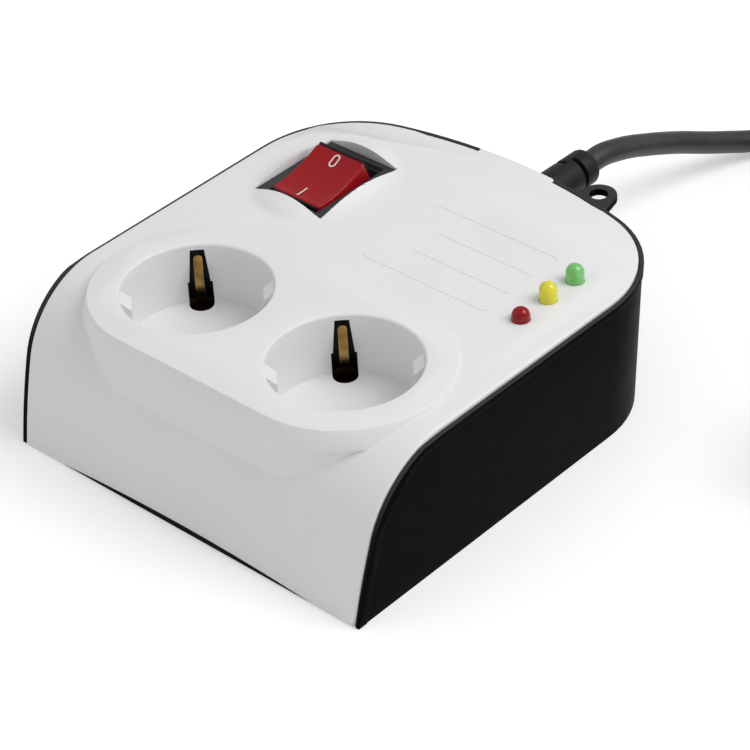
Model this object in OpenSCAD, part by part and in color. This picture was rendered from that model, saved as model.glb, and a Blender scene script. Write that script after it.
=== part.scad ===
// Mains voltage protector with two round sockets, a lit rocker switch and three lamps.
// X runs along the row of sockets, Y runs from the sloping front to the cord, Z is up.
// The origin is on the resting face, at the middle of the housing with its hanging ear.

/* [Housing] */
// Width across the black side walls at the top
body_w = 123.2; // [118:0.1:130]
// Depth from the foot of the front to the middle of the rear wall
body_d = 132.5; // [130:0.1:138]
// Height of the flat top
body_h = 42.7; // [42:0.1:45]
// How much further out each wall stands at the top than at the foot
wall_draft = 2.1; // [1.5:0.1:2.4]
// Radius of the two rear corners in plan
corner_r = 32; // [30:0.5:34]
// Radius of the bow of the rear wall in plan
rear_bow_r = 150; // [140:1:180]
// Radius of the brow, where the top turns down to the front
brow_r = 27; // [25:0.5:28]
// Radius of the long, nearly straight curve of the lower front
front_r = 200; // [180:1:240]
// Lean of the front from upright where its two curves meet
front_lean = 18; // [16:0.5:20]
// Thickness of the base walls
wall_t = 2.6; // [2.4:0.1:3]
// Width of the black rim that frames the cover
rim_t = 1.3; // [1:0.1:1.5]
// How far the rim lies below the cover
rim_drop = 0.3; // [0.2:0.05:0.5]
// Height of the slightly proud band along the rim
band_h = 3; // [2:0.1:4]
// How far the band stands out
band_step = 0.3; // [0.2:0.05:0.4]
// Thickness of the base floor
floor_t = 2.2; // [1.8:0.1:2.6]
// Depth of the hollow in the underside
sole_hollow = 0.8; // [0.4:0.1:1]
// Width of the rim that the housing rests on
sole_rim = 5; // [4:0.5:7]
// Thickness of the cover
cover_t = 2.4; // [2:0.1:2.6]
// Gap between the cover and the base
seam = 0.15; // [0.1:0.05:0.2]
// Height of the locating skirt under the cover
skirt_h = 4; // [3:0.5:5]
// Thickness of the locating skirt
skirt_t = 1.4; // [1.2:0.1:1.8]
// Height of the shallow arch in the foot of the cover
arch_h = 1.5; // [1:0.1:2]
// Half the width of that arch
arch_half_w = 44; // [38:1:48]
// Width of the tongue that closes the cord slot
tongue_w = 25.6; // [22:0.1:28]

/* [Sockets] */
// Distance between the middles of the two sockets
socket_pitch = 51; // [50.5:0.1:52]
// Distance of the socket row behind the foot of the front
socket_setback = 35.9; // [35.5:0.1:38]
// Diameter of a socket at its rim
socket_d = 39.5; // [39:0.1:40]
// Diameter of a socket at its floor
socket_floor_d = 38.8; // [38.4:0.1:39]
// Depth of a socket
socket_depth = 17.4; // [17:0.1:17.8]
// Wall of the socket cup
cup_t = 2.6; // [2.4:0.1:3]
// Floor of the socket cup
cup_floor_t = 2.6; // [2.2:0.1:3]
// Distance between the two pin holes of one socket
pin_pitch = 19; // [19:0.1:19.2]
// Diameter of a pin hole
pin_hole_d = 5.2; // [5.1:0.05:5.4]
// Radius of the pad at its top face, round each socket
pad_top_r = 28; // [27:0.1:28.2]
// Radius of the pad at the lower edge of its sloping band
pad_band_r = 29.6; // [29.2:0.1:29.8]
// Radius of the upright wall below that band
pad_wall_r = 28.7; // [28.5:0.1:28.9]
// How far the pad stands above the flat top
pad_rise = 1.2; // [0.8:0.1:1.6]
// Height of the sloping band
pad_band_h = 5.3; // [4.5:0.1:6]
// Turn of each socket about its axis
socket_turn = 45; // [44:1:46]
// Width of the two guide ribs in a socket
guide_w = 5.6; // [5:0.1:6]
// How far the guide ribs stand in from the socket's rim
guide_depth = 3; // [2.6:0.1:3.2]
// Width of the earth slot at its top
slot_top_w = 3.7; // [3.4:0.1:4]
// Width of the earth slot near the socket floor
slot_foot_w = 6.4; // [6:0.1:6.5]

/* [Switch] */
// Place of the switch left of the middle
switch_x = -35.3; // [-36:0.1:-34.5]
// Distance of the switch from the rear wall
switch_inset = 38; // [37:0.1:39]
// Radius of the round dome at its foot
dome_r = 22; // [21:0.1:23]
// Height of the dome without its opening
dome_rise = 3.8; // [3.4:0.1:4.2]
// Width of the switch flange
flange_w = 24; // [23.6:0.1:24.6]
// Length of the switch flange
flange_l = 30; // [29.6:0.1:30.6]
// Thickness of the switch flange
flange_t = 1.5; // [1.3:0.1:1.7]
// Depth of the switch body below its flange
switch_depth = 19.5; // [19:0.1:21]
// Width of the rocker
rocker_w = 17.2; // [16.8:0.1:17.4]
// Half the length of the rocker across its top
rocker_half_l = 9.6; // [9.4:0.05:9.8]
// Height of the rocker ends above the pivot
rocker_top = 12.1; // [11.9:0.05:12.3]
// Depth of the finger hollow in the rocker
rocker_hollow = 1.5; // [1:0.1:1.8]
// Depth of the pivot below the flat top
pivot_drop = 8.7; // [8.5:0.1:8.9]
// Tilt of the rocker to each side
rocker_tilt = 13.5; // [12:0.5:14]
// Tilt of the contact levers to each side
lever_tilt = 6; // [5:0.5:6.5]

/* [Lamps and circuit board] */
// Diameter of each lamp
lamp_d = 4.8; // [4.6:0.1:5]
// Place of the lamps right of the middle
lamp_x = 46.9; // [46.4:0.1:47.2]
// Distances of the lamps behind the socket row
lamp_rows = [41.25, 51.9, 62.5];
// Height of each lamp tip above the flat top
lamp_tips = [3.5, 5.3, 5];
// Thickness of the circuit board
board_t = 1.6; // [1.2:0.1:2]
// Height of the board's underside
board_z = 12; // [11:0.5:13]
// Width of the board
board_w = 45; // [44.5:0.5:46]
// Depth of the board
board_d = 42; // [41.5:0.5:43]

/* [Cord and plug] */
// Diameter of the cord
cord_d = 6.6; // [6:0.1:7]
// Height of the cord where it leaves the housing
cord_z = 27.4; // [26.6:0.1:28]
// Diameter of the strain relief
boot_d = 10.8; // [10.4:0.1:11.4]
// Length of the strain relief outside the wall
boot_l = 28.4; // [28:0.1:30]
// Diameter of the plug face
plug_d = 37; // [36:0.1:37.4]
// Length of the plug from the end of its grip to its face
plug_l = 56; // [54:0.5:60]
// Diameter of the plug pins
plug_pin_d = 4.8; // [4.75:0.01:4.85]
// Length of the plug pins
plug_pin_l = 19; // [18.6:0.1:19.4]

/* [Hanging ear] */
// How far the ear reaches behind the rear wall
ear_reach = 8.3; // [7.6:0.1:9]
// Thickness of the ear
ear_t = 2; // [1.6:0.1:2.4]
// Diameter of the hole in the ear
ear_hole_d = 5; // [4.6:0.1:5.2]
// Place of the hole right of the middle
ear_x = 24.4; // [24:0.1:25]

/* [Hidden] */
$fn = 96;

// Colours as the photograph shows them
white = [0.89, 0.89, 0.89];
black = [0.1, 0.1, 0.1];
dark_grey = [0.24, 0.24, 0.23];
cord_grey = [0.2, 0.2, 0.2];
brass = [0.62, 0.48, 0.26];
steel = [0.7, 0.7, 0.7];
ivory = [0.85, 0.83, 0.76];
lens_red = [0.7, 0.1, 0.13];

// Main places, and one overrun for every cut
over = 6;
skin = 0.01;
front_y = -(body_d + ear_reach) / 2;
rear_y = front_y + body_d;
socket_y = front_y + socket_setback;
switch_y = rear_y - switch_inset;
top_in = body_h - cover_t;
pad_z = body_h + pad_rise;
floor_top = sole_hollow + floor_t;
seat_gap = 0.1;

// Plan outline: straight sides, rear corner arcs and a bowed rear wall
corner_n = 14;
bow_n = 16;
corner_x = body_w / 2 - corner_r;
bow_y = rear_y - rear_bow_r;
corner_y = bow_y + sqrt(pow(rear_bow_r - corner_r, 2) - pow(corner_x, 2));
corner_turn = atan2(corner_y - bow_y, corner_x);
function arc(cx, cy, r, a0, a1, n) = [for (i = [0:n]) let (a = a0 + (a1 - a0) * i / n)
    [cx + r * cos(a), cy + r * sin(a)]];
function plan_pts(inset) = concat(
    [[body_w / 2 - inset, front_y - over]],
    arc(corner_x, corner_y, corner_r - inset, 0, corner_turn, corner_n),
    [for (i = [1:bow_n - 1]) let (a = corner_turn + (180 - 2 * corner_turn) * i / bow_n)
        [(rear_bow_r - inset) * cos(a), bow_y + (rear_bow_r - inset) * sin(a)]],
    arc(-corner_x, corner_y, corner_r - inset, 180 - corner_turn, 180, corner_n),
    [[-body_w / 2 + inset, front_y - over]]);

// Side profile: the brow arc, then the long front arc down to the foot
brow_z = body_h - brow_r;
brow_end = 90 - front_lean;
front_cz = brow_z - (front_r - brow_r) * cos(brow_end);
front_cy = front_y + sqrt(pow(front_r, 2) - pow(front_cz, 2));
brow_y = front_cy - (front_r - brow_r) * sin(brow_end);

// Shallow arch in the foot of the cover
arch_r = (pow(arch_half_w, 2) + pow(arch_h, 2)) / (2 * arch_h);
foot_gap = 0.3;
arch_seam = 0.25;

// Housing screws, their pillars in the base and bosses under the cover
pillar_r = 5;
pillar_top = 24;
boss_r = 3.4;
boss_root = 1;
screw_r = 1.5;
screw_play = 0.1;
screw_hole_r = 1.8;
screw_head_r = 3.3;
screw_head_h = 2.2;
head_pocket_r = 3.7;
head_seat_z = 15;
screw_reach = 7;
boss_hole_h = 9;
front_screw_inset = 13.1;
front_screw_y = 15;
rear_screw_inset = 23.6;
rear_screw_y = 16.6;
screw_spots = [for (side = [-1, 1]) each [
    [side * (body_w / 2 - front_screw_inset), front_y + front_screw_y],
    [side * (body_w / 2 - rear_screw_inset), rear_y - rear_screw_y]]];
drive_w = 1.1;
drive_l = 3.8;
drive_depth = 1.2;

// Sockets
cup_floor = pad_z - socket_depth;
cup_bottom = cup_floor - cup_floor_t;
cup_r = socket_d / 2 + cup_t;
pin_step = pin_pitch / 2 * cos(socket_turn);
pad_low = 20;
rim_bevel = 0.5;
slot_top_z = pad_z - 1.7;
slot_waist_z = cup_floor + 1.6;
slot_lift = 0.4;
slot_floor_r = 3.3;
slot_floor_n = 12;
slot_reach = 1.6;
slot_run = 1;
guide_drop = 0.8;
guide_lead = 2.4;
slot_turns = [90 + socket_turn, 270 + socket_turn];
guide_turns = [socket_turn, 180 + socket_turn];

// Live, neutral and earth contacts and the tray that carries them
leaf_gap = 4.9;
leaf_t = 0.6;
leaf_w = 5;
leaf_out = leaf_gap / 2 + leaf_t;
leaf_air = 0.3;
leaf_flare = 0.5;
leaf_flare_h = 2;
bus_t = 0.8;
bus_w = 5;
bus_z = 11;
bus_drop = 1;
live_tail_x = 5;
live_tail_l = 7.5;
neutral_tail_x = -30.2;
neutral_tail_l = 20.5;
solder_back = 1.5;
clip_t = 0.8;
clip_w = 2.4;
clip_foot_w = 6.9;
clip_strip_w = 5;
clip_out_r = socket_d / 2 + 1;
clip_bow = 3;
clip_bow_n = 8;
clip_foot_z = cup_floor - 2;
clip_bow_z = clip_foot_z + clip_foot_w / 2;
clip_top_z = slot_top_z - 2.4;
link_t = 0.8;
link_w = 5.6;
link_tail = 4;
rivet_r = 1.6;
rivet_h = 0.6;
tray_t = 2;
tray_z = floor_top + 1.4;
tray_wall = 1.6;
pocket_wall = 1.3;
pocket_h = 3;
tray_play = 0.1;
tray_edge = 1.5;

// Switch: body, rocker about its pivot, levers and terminals
pivot_z = body_h - pivot_drop;
flange_z = body_h - flange_t;
flange_play = 0.1;
shell_w = 21.8;
shell_l = 27.4;
shell_play = 0.1;
well_l = 25.4;
well_step = 0.5;
well_play = 0.3;
shell_floor_t = 1.5;
trunnion_r = 1.5;
trunnion_play = 0.05;
trunnion_l = 1.5;
rocker_low = 2;
rocker_low_half = 11.7;
lens_low = 4.5;
lens_pocket_w = 11;
lens_pocket_l = 5.4;
lens_pocket_h = 4.6;
neon_r = 2;
neon_l = 9;
neon_lift = 0.1;
neon_lead_w = 0.5;
plunger_r = 1.2;
plunger_reach = 4.9;
lever_x = 5;
lever_t = 0.8;
lever_w = 4;
lever_front = 6;
lever_rear = 9.4;
lever_drop = 5.7;
lever_pivot_r = 0.6;
button_r = 1.4;
button_h = 0.8;
button_y = 8.2;
contact_air = 0.3;
contact_drop = 8.2;
blade_w = 6.3;
blade_t = 0.8;
blade_l = 9;
blade_play = 0.1;
saddle_w = 3;
saddle_low = 4;
dome_ball_r = (pow(dome_r, 2) + pow(dome_rise, 2)) / (2 * dome_rise);

// Circuit board, what stands on it, and the three lamps
board_x = 8.2;
board_y = socket_y + 30;
board_top = board_z + board_t;
board_hole_inset = 4;
board_hole_r = 1.3;
board_boss_r = 3;
board_screw_r = 1.1;
board_head_r = 2.2;
board_head_h = 1.5;
board_screw_l = 7;
board_spots = [for (u = [board_hole_inset, board_w - board_hole_inset])
    for (v = [board_hole_inset, board_d - board_hole_inset]) [board_x + u, board_y + v]];
relay_size = [28.5, 15.5, 20];
relay_at = [6.5, 4.8];
relay_bevel = 0.8;
film_size = [18, 8.5, 14.5];
film_at = [3.5, 22.6];
film_bevel = 0.6;
storage_r = 5;
storage_h = 16;
storage_at = [29, 28.5];
storage_neck = 0.5;
storage_neck_z = 1.6;
storage_base_t = 0.8;
disc_r = 6;
disc_t = 4.4;
disc_at = [15, 35.5];
disc_lift = 2;
disc_edge = 1.2;
lead_w = 0.6;
lead_pitch = 2.54;
disc_lead_pitch = 7.5;
lamp_hole_play = 0.1;
lamp_rim_r = 2.85;
lamp_rim_h = 1;
lamp_body_h = 7.8;

// Strain relief and hanging ear
neck_r = 4.3;
neck_play = 0.1;
wall_in_y = 3.8;
wall_out_y = 0.4;
boot_flange_r = 6.2;
boot_flange_t = 2;
boot_taper = 0.2;
boot_round = 1.4;
boot_slot_w = 1.3;
boot_slot_core_r = 3.4;
boot_slot_back = 6.6;
boot_slot_step = 3;
tail_l = 9;
ear_top = body_h - 2.3;
ear_r = 4.9;
ear_root_half = 7.6;
ear_root_in = 7;
ear_y = rear_y + ear_reach - ear_r;

// Loose cord: route points chosen by hand, then a coil wound by formula
cord_facets = 8;
coil_facets = 6;
coil_rings = 24;
coil_at = [77, 166];
coil_outer_r = 47;
coil_step = 7.3;
coil_climb = 7.1;
coil_in_turns = 2.5;
coil_climb_turns = 0.5;
coil_out_turns = 2.375;
coil_start = 135;
coil_low = 4;
coil_turns = coil_in_turns + coil_climb_turns + coil_out_turns;
coil_inner_r = coil_outer_r - coil_step * coil_in_turns;
coil_top = coil_low + coil_climb;
tie_t = 0.6;
tie_w = 6;
tie_play = 0.4;
tie_low = 0.05;
tie_turn = 300;
plug_end_y = 108;
plug_axis_z = 20;

// Plug, measured from the end of its grip to its face
plug_face_l = 17;
plug_collar_r = 20;
plug_collar_t = 3;
plug_neck_r = 6.5;
plug_neck_l = 18;
plug_grip_r = 15;
plug_grip_l = 27;
plug_round = 1.5;
plug_pin_root = 5;
plug_pin_root_r = 2;
plug_pin_play = 0.05;
plug_strip_w = 5;
plug_strip_t = 0.8;
plug_strip_l = 15;
plug_guide_w = 5;
plug_guide_depth = 1.6;

// Wires inside: diameter, facets and how far each stays from the cord's middle
wire_d = 2.4;
wire_facets = 8;
wire_ring_r = 1.6;

// Solid between two heights with drafted walls, at an inset from the housing's plan
function draft_at(z) = wall_draft * (1 - z / body_h);
module slab(inset, z) {
    translate([0, 0, z])
        linear_extrude(skin)
            polygon(plan_pts(inset + draft_at(z)));
}
module block(inset, low, high) {
    hull() {
        slab(inset, low);
        slab(inset, high - skin);
    }
}

// Everything under the curve of the front and top, at an inset from that curve
module profile_prism(inset) {
    joint_z = brow_z + (brow_r - inset) * cos(brow_end);
    rotate([90, 0, 90])
        linear_extrude(body_w + 2 * over, center = true)
            union() {
                translate([brow_y, -over])
                    square([rear_y + over - brow_y, body_h - inset + over]);
                translate([brow_y, brow_z])
                    circle(r = brow_r - inset);
                intersection() {
                    translate([front_cy, front_cz])
                        circle(r = front_r - inset, $fn = 360);
                    translate([front_y - over, -over])
                        square([rear_y - front_y, joint_z + over]);
                }
            }
}

// Everything below the arch in the foot of the cover
module below_arch(gap) {
    translate([0, 0, foot_gap + arch_h - arch_r])
        rotate([90, 0, 0])
            cylinder(r = arch_r - gap, h = 2 * body_d, center = true, $fn = 720);
}

module rod(r, low, high) {
    translate([0, 0, low])
        cylinder(r = r, h = high - low);
}

module box_between(x0, x1, y0, y1, z0, z1) {
    translate([x0, y0, z0])
        cube([x1 - x0, y1 - y0, z1 - z0]);
}

module at_socket(side) {
    translate([side * socket_pitch / 2, socket_y, 0])
        children();
}

module at_sockets() {
    for (side = [-1, 1])
        at_socket(side)
            children();
}

// Solid that joins two equal discs or cones round the two sockets
module pad_solid(r_low, r_high, low, high) {
    at_sockets()
        translate([0, 0, low])
            cylinder(r1 = r_low, r2 = r_high, h = high - low);
    translate([0, socket_y, 0])
        rotate([90, 0, 90])
            linear_extrude(socket_pitch, center = true)
                polygon([[-r_low, low], [r_low, low], [r_high, high], [-r_high, high]]);
}

// Sweep of a round section along points, with flat ends square to the path
function unit(v) = v / norm(v);
function heading(p, i) = unit(p[min(i + 1, len(p) - 1)] - p[max(i - 1, 0)]);
function sideways(t) = norm(cross(t, [0, 0, 1])) > 0.2 ? unit(cross(t, [0, 0, 1])) : [1, 0, 0];
function level(t, s) = unit(s - t * (s * t));
function sides(p, i = 0, last = [0, 0, 0]) = i == len(p) ? [] :
    let (t = heading(p, i), s = level(t, norm(last) == 0 ? sideways(t) : last))
    concat([s], sides(p, i + 1, s));
function ring(c, t, s, r, n) = let (u = cross(s, t)) [for (k = [0:n - 1])
    let (a = 360 * (k + 0.5) / n) c + r * (cos(a) * s + sin(a) * u)];
module tube(path, d, n) {
    s = sides(path);
    m = len(path);
    points = [for (i = [0:m - 1]) each ring(path[i], heading(path, i), s[i], d / 2, n)];
    caps = [for (k = [1:n - 2]) each [[0, k, k + 1],
        [(m - 1) * n, (m - 1) * n + k + 1, (m - 1) * n + k]]];
    skins = [for (i = [0:m - 2]) for (k = [0:n - 1]) let (j = (k + 1) % n)
        each [[i * n + k, (i + 1) * n + k, (i + 1) * n + j], [i * n + k, (i + 1) * n + j, i * n + j]]];
    polyhedron(points = points, faces = concat(caps, skins));
}

// Outline of a bent strip of even thickness along a flat path
function turned(p, i) = let (a = unit(p[max(i, 1)] - p[max(i, 1) - 1]),
    b = unit(p[min(i, len(p) - 2) + 1] - p[min(i, len(p) - 2)]), m = unit(a + b),
    n = [-m[1], m[0]]) n / (n * [-a[1], a[0]]);
function strip_pts(p, t) = concat([for (i = [0:len(p) - 1]) p[i] + turned(p, i) * t],
    [for (i = [len(p) - 1:-1:0]) p[i]]);

// Housing
module ear_plan() {
    reach = [for (side = [-1, 1]) [side * ear_root_half, rear_y - ear_root_in - ear_y]];
    tangents = [for (i = [0, 1]) let (side = 2 * i - 1, d = norm(reach[i]),
        a = atan2(reach[i][1], reach[i][0]) + side * acos(ear_r / d)) ear_r * [cos(a), sin(a)]];
    translate([ear_x, ear_y]) {
        circle(r = ear_r);
        polygon([reach[0], reach[1], tangents[1], tangents[0]]);
    }
}

module base_tub() {
    color(black)
        difference() {
            union() {
                difference() {
                    union() {
                        intersection() {
                            union() {
                                block(band_step, 0, body_h);
                                difference() {
                                    block(0, 0, body_h);
                                    profile_prism(rim_drop + band_h);
                                }
                            }
                            profile_prism(rim_drop);
                        }
                        translate([0, 0, ear_top - ear_t])
                            linear_extrude(ear_t)
                                ear_plan();
                    }
                    block(wall_t, floor_top, body_h + over);
                    difference() {
                        block(rim_t, -over, body_h + over);
                        profile_prism(cover_t + seat_gap);
                        below_arch(arch_seam);
                    }
                    linear_extrude(sole_hollow)
                        intersection() {
                            polygon(plan_pts(wall_draft + sole_rim));
                            translate([-body_w / 2, front_y + 2 * sole_rim])
                                square([body_w, body_d]);
                        }
                }
                for (p = screw_spots)
                    translate(p)
                        rod(pillar_r, sole_hollow, pillar_top);
                for (p = board_spots)
                    translate(p)
                        rod(board_boss_r, sole_hollow, board_z);
            }
            for (p = screw_spots)
                translate(p) {
                    rod(head_pocket_r, -over, head_seat_z);
                    rod(screw_hole_r, 0, pillar_top + over);
                }
            for (p = board_spots)
                translate(p)
                    rod(board_screw_r + screw_play, board_top - board_screw_l - screw_play, board_z + over);
            translate([ear_x, ear_y])
                rod(ear_hole_d / 2, ear_top - ear_t - over, ear_top + over);
            box_between(-tongue_w / 2 - seam, tongue_w / 2 + seam, rear_y - over, rear_y + over,
                cord_z, body_h + over);
            cord_bore();
        }
}

module cord_bore() {
    translate([0, rear_y + over, cord_z])
        rotate([90, 0, 0])
            cylinder(r = neck_r + neck_play, h = 2 * over);
}

// Cuts that make one socket in the cover
module well_cut() {
    difference() {
        rotate_extrude()
            polygon([[0, cup_floor], [socket_floor_d / 2, cup_floor], [socket_d / 2, pad_z - rim_bevel],
                [socket_d / 2 + rim_bevel, pad_z], [socket_d / 2 + rim_bevel, pad_z + over],
                [0, pad_z + over]]);
        guide_ribs();
    }
}

// Ribs that the notches of a plug slide along, slanted at the top as a lead-in
module guide_ribs() {
    inner = socket_d / 2 - guide_depth;
    outer = socket_d / 2 + cup_t / 2;
    high = pad_z - rim_bevel - guide_drop;
    for (a = guide_turns)
        rotate([0, 0, a])
            rotate([90, 0, 0])
                linear_extrude(guide_w, center = true)
                    polygon([[inner, cup_floor - over], [outer, cup_floor - over], [outer, high],
                        [socket_floor_d / 2, high], [inner, high - guide_lead]]);
}

module pin_hole_cuts() {
    for (side = [-1, 1])
        translate(side * [pin_step, pin_step])
            rod(pin_hole_d / 2, cup_bottom - over, cup_floor + over);
}

module earth_slot_cuts() {
    for (a = slot_turns)
        rotate([0, 0, a])
            translate([socket_floor_d / 4, 0, 0])
                rotate([90, 0, 90])
                    linear_extrude(cup_r - socket_floor_d / 4 + slot_run)
                        polygon([[-slot_foot_w / 2, cup_floor + slot_lift],
                            [slot_foot_w / 2, cup_floor + slot_lift], [slot_foot_w / 2, slot_waist_z],
                            [slot_top_w / 2, slot_top_z], [-slot_top_w / 2, slot_top_z],
                            [-slot_foot_w / 2, slot_waist_z]]);
}

module earth_floor_cuts() {
    for (a = slot_turns)
        rotate([0, 0, a])
            translate([socket_floor_d / 2, 0, cup_bottom - over])
                linear_extrude(cup_floor_t + 2 * over)
                    polygon(concat([[slot_floor_r, slot_floor_r]],
                        arc(-slot_reach, 0, slot_floor_r, 90, 270, slot_floor_n),
                        [[slot_floor_r, -slot_floor_r]]));
}

module top_cover() {
    color(white)
        difference() {
            union() {
                difference() {
                    union() {
                        intersection() {
                            block(rim_t + seam, 0, body_h);
                            profile_prism(0);
                        }
                        pad_solid(pad_band_r, pad_top_r, pad_z - pad_band_h, pad_z);
                        pad_solid(pad_wall_r, pad_wall_r, pad_low, pad_z - pad_band_h);
                        intersection() {
                            translate([switch_x, switch_y, body_h + dome_rise - dome_ball_r])
                                sphere(r = dome_ball_r);
                            translate([switch_x, switch_y])
                                rod(dome_r, top_in, body_h + over);
                        }
                    }
                    profile_prism(cover_t);
                    pad_solid(pad_wall_r - cover_t, pad_wall_r - cover_t, pad_low - over,
                        pad_z - cover_t);
                    below_arch(0);
                    box_between(-body_w, body_w, front_y - over, rear_y, -over, foot_gap);
                }
                at_sockets()
                    rod(cup_r, cup_bottom, pad_z - rim_bevel);
                intersection() {
                    for (p = screw_spots)
                        translate(p)
                            rod(boss_r, pillar_top, body_h);
                    profile_prism(cover_t - boss_root);
                }
                cover_skirt();
                cover_tongue();
            }
            at_sockets()
                well_cut();
            at_sockets()
                pin_hole_cuts();
            at_sockets()
                earth_slot_cuts();
            at_sockets()
                earth_floor_cuts();
            for (p = screw_spots)
                translate(p)
                    rod(screw_r + screw_play, pillar_top - over, pillar_top + boss_hole_h);
            for (y = lamp_rows)
                translate([lamp_x, socket_y + y])
                    rod(lamp_d / 2 + lamp_hole_play, top_in - over, body_h + over);
            translate([switch_x, switch_y, flange_z])
                linear_extrude(over * 2)
                    square([flange_w + 2 * flange_play, flange_l + 2 * flange_play], center = true);
            translate([switch_x, switch_y, top_in - over])
                linear_extrude(over * 2)
                    square([shell_w + 2 * shell_play, shell_l + 2 * shell_play], center = true);
        }
}

module cover_skirt() {
    intersection() {
        difference() {
            block(wall_t + seam, 0, body_h);
            block(wall_t + seam + skirt_t, -over, body_h + over);
            profile_prism(cover_t + skirt_h);
        }
        profile_prism(cover_t - boss_root);
        box_between(-body_w, body_w, front_y, rear_y, floor_top + seam, body_h);
    }
}

module cover_tongue() {
    difference() {
        intersection() {
            difference() {
                block(0, cord_z, body_h);
                block(wall_t, cord_z - over, body_h + over);
            }
            box_between(-tongue_w / 2, tongue_w / 2, 0, rear_y + over, cord_z + seam / 2, body_h);
        }
        cord_bore();
    }
}

module screw(r, length, head_r, head_h) {
    difference() {
        union() {
            rod(head_r, -head_h, 0);
            rod(r, 0, length);
        }
        for (a = [0, 90])
            rotate([0, 0, a])
                box_between(-drive_l / 2, drive_l / 2, -drive_w / 2, drive_w / 2,
                    -head_h - over, drive_depth - head_h);
    }
}

module housing_screws() {
    color(steel)
        for (p = screw_spots)
            translate([p[0], p[1], head_seat_z])
                screw(screw_r, pillar_top + screw_reach - head_seat_z, screw_head_r, screw_head_h);
}

// Contacts below the sockets: pairs of leaves, drawn as wide apart as a pin holds them
function contact_spot(side, pole) = [side * socket_pitch / 2 + pole * pin_step, socket_y + pole * pin_step];

module at_contacts() {
    for (side = [-1, 1])
        for (pole = [-1, 1])
            translate(contact_spot(side, pole))
                children();
}

module socket_tray() {
    pocket_x = leaf_w / 2 + tray_play;
    pocket_y = leaf_out + tray_play;
    half_l = socket_pitch / 2 + pin_step + pocket_x + pocket_wall + tray_edge;
    half_w = pin_step + pocket_y + pocket_wall + tray_edge;
    rest = tray_z + tray_t;
    color(ivory)
        difference() {
            union() {
                translate([0, socket_y, 0])
                    box_between(-half_l, half_l, -half_w, half_w, floor_top, rest);
                at_contacts()
                    box_between(-pocket_x - pocket_wall, pocket_x + pocket_wall, -pocket_y - pocket_wall,
                        pocket_y + pocket_wall, tray_z, rest + pocket_h);
            }
            translate([0, socket_y, 0])
                box_between(tray_wall - half_l, half_l - tray_wall, tray_wall - half_w,
                    half_w - tray_wall, floor_top - over, tray_z);
            at_contacts()
                box_between(-pocket_x, pocket_x, -pocket_y, pocket_y, rest, rest + pocket_h + over);
        }
}

module contact_leaves() {
    rest = tray_z + tray_t;
    leaf_top = cup_bottom - leaf_air;
    leaf = [[-leaf_t, rest], [leaf_out, rest], [leaf_out, leaf_top - leaf_flare_h],
        [leaf_out + leaf_flare, leaf_top]];
    for (side = [0, 1])
        mirror([0, side, 0])
            rotate([90, 0, 90])
                linear_extrude(leaf_w, center = true)
                    polygon(strip_pts(leaf, leaf_t));
}

module bus(pole, tail_x, tail_l) {
    from = contact_spot(-1, pole);
    to = contact_spot(1, pole);
    face = from[1] + leaf_out;
    low = bus_z - bus_drop;
    for (p = [from, to])
        translate(p)
            contact_leaves();
    box_between(from[0] - leaf_w / 2, to[0] + leaf_w / 2, face - leaf_t / 2, face - leaf_t / 2 + bus_t,
        low, low + bus_w);
    box_between(tail_x - bus_w / 2, tail_x + bus_w / 2, face, face + tail_l, bus_z, bus_z + bus_t);
}

module live_bus() {
    color(brass)
        bus(1, live_tail_x, live_tail_l);
}

module neutral_bus() {
    color(brass)
        bus(-1, neutral_tail_x, neutral_tail_l);
}

module earth_clip() {
    strip_z = cup_bottom - clip_t;
    leg = concat([[0, strip_z], [clip_out_r, strip_z]], [for (i = [0:clip_bow_n])
        [clip_out_r - clip_bow * sin(180 * i / clip_bow_n),
            clip_bow_z + (clip_top_z - clip_bow_z) * i / clip_bow_n]]);
    color(brass)
        for (a = slot_turns)
            rotate([0, 0, a]) {
                rotate([90, 0, 0])
                    linear_extrude(clip_w, center = true)
                        polygon(strip_pts(leg, clip_t));
                box_between(0, clip_out_r - clip_t, -clip_strip_w / 2, clip_strip_w / 2, strip_z,
                    cup_bottom);
                translate([clip_out_r - clip_t, 0, clip_foot_z])
                    rotate([90, 0, 90])
                        linear_extrude(clip_t)
                            intersection() {
                                rotate(30)
                                    circle(d = clip_foot_w, $fn = 6);
                                translate([-clip_foot_w / 2, strip_z - clip_foot_z])
                                    square(clip_foot_w);
                            }
            }
}

module earth_clip_left() {
    at_socket(-1)
        earth_clip();
}

module earth_clip_right() {
    at_socket(1)
        earth_clip();
}

module earth_link() {
    high = cup_bottom - clip_t;
    half_l = socket_pitch / 2 + link_tail;
    color(brass)
        translate([0, socket_y, 0]) {
            box_between(-half_l, half_l, -link_w / 2, link_w / 2, high - link_t, high);
            for (side = [-1, 1])
                translate([side * socket_pitch / 2, 0])
                    rod(rivet_r, high - link_t - rivet_h, high - link_t);
        }
}

// Switch
module at_pivot() {
    translate([switch_x, switch_y, pivot_z])
        children();
}

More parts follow.
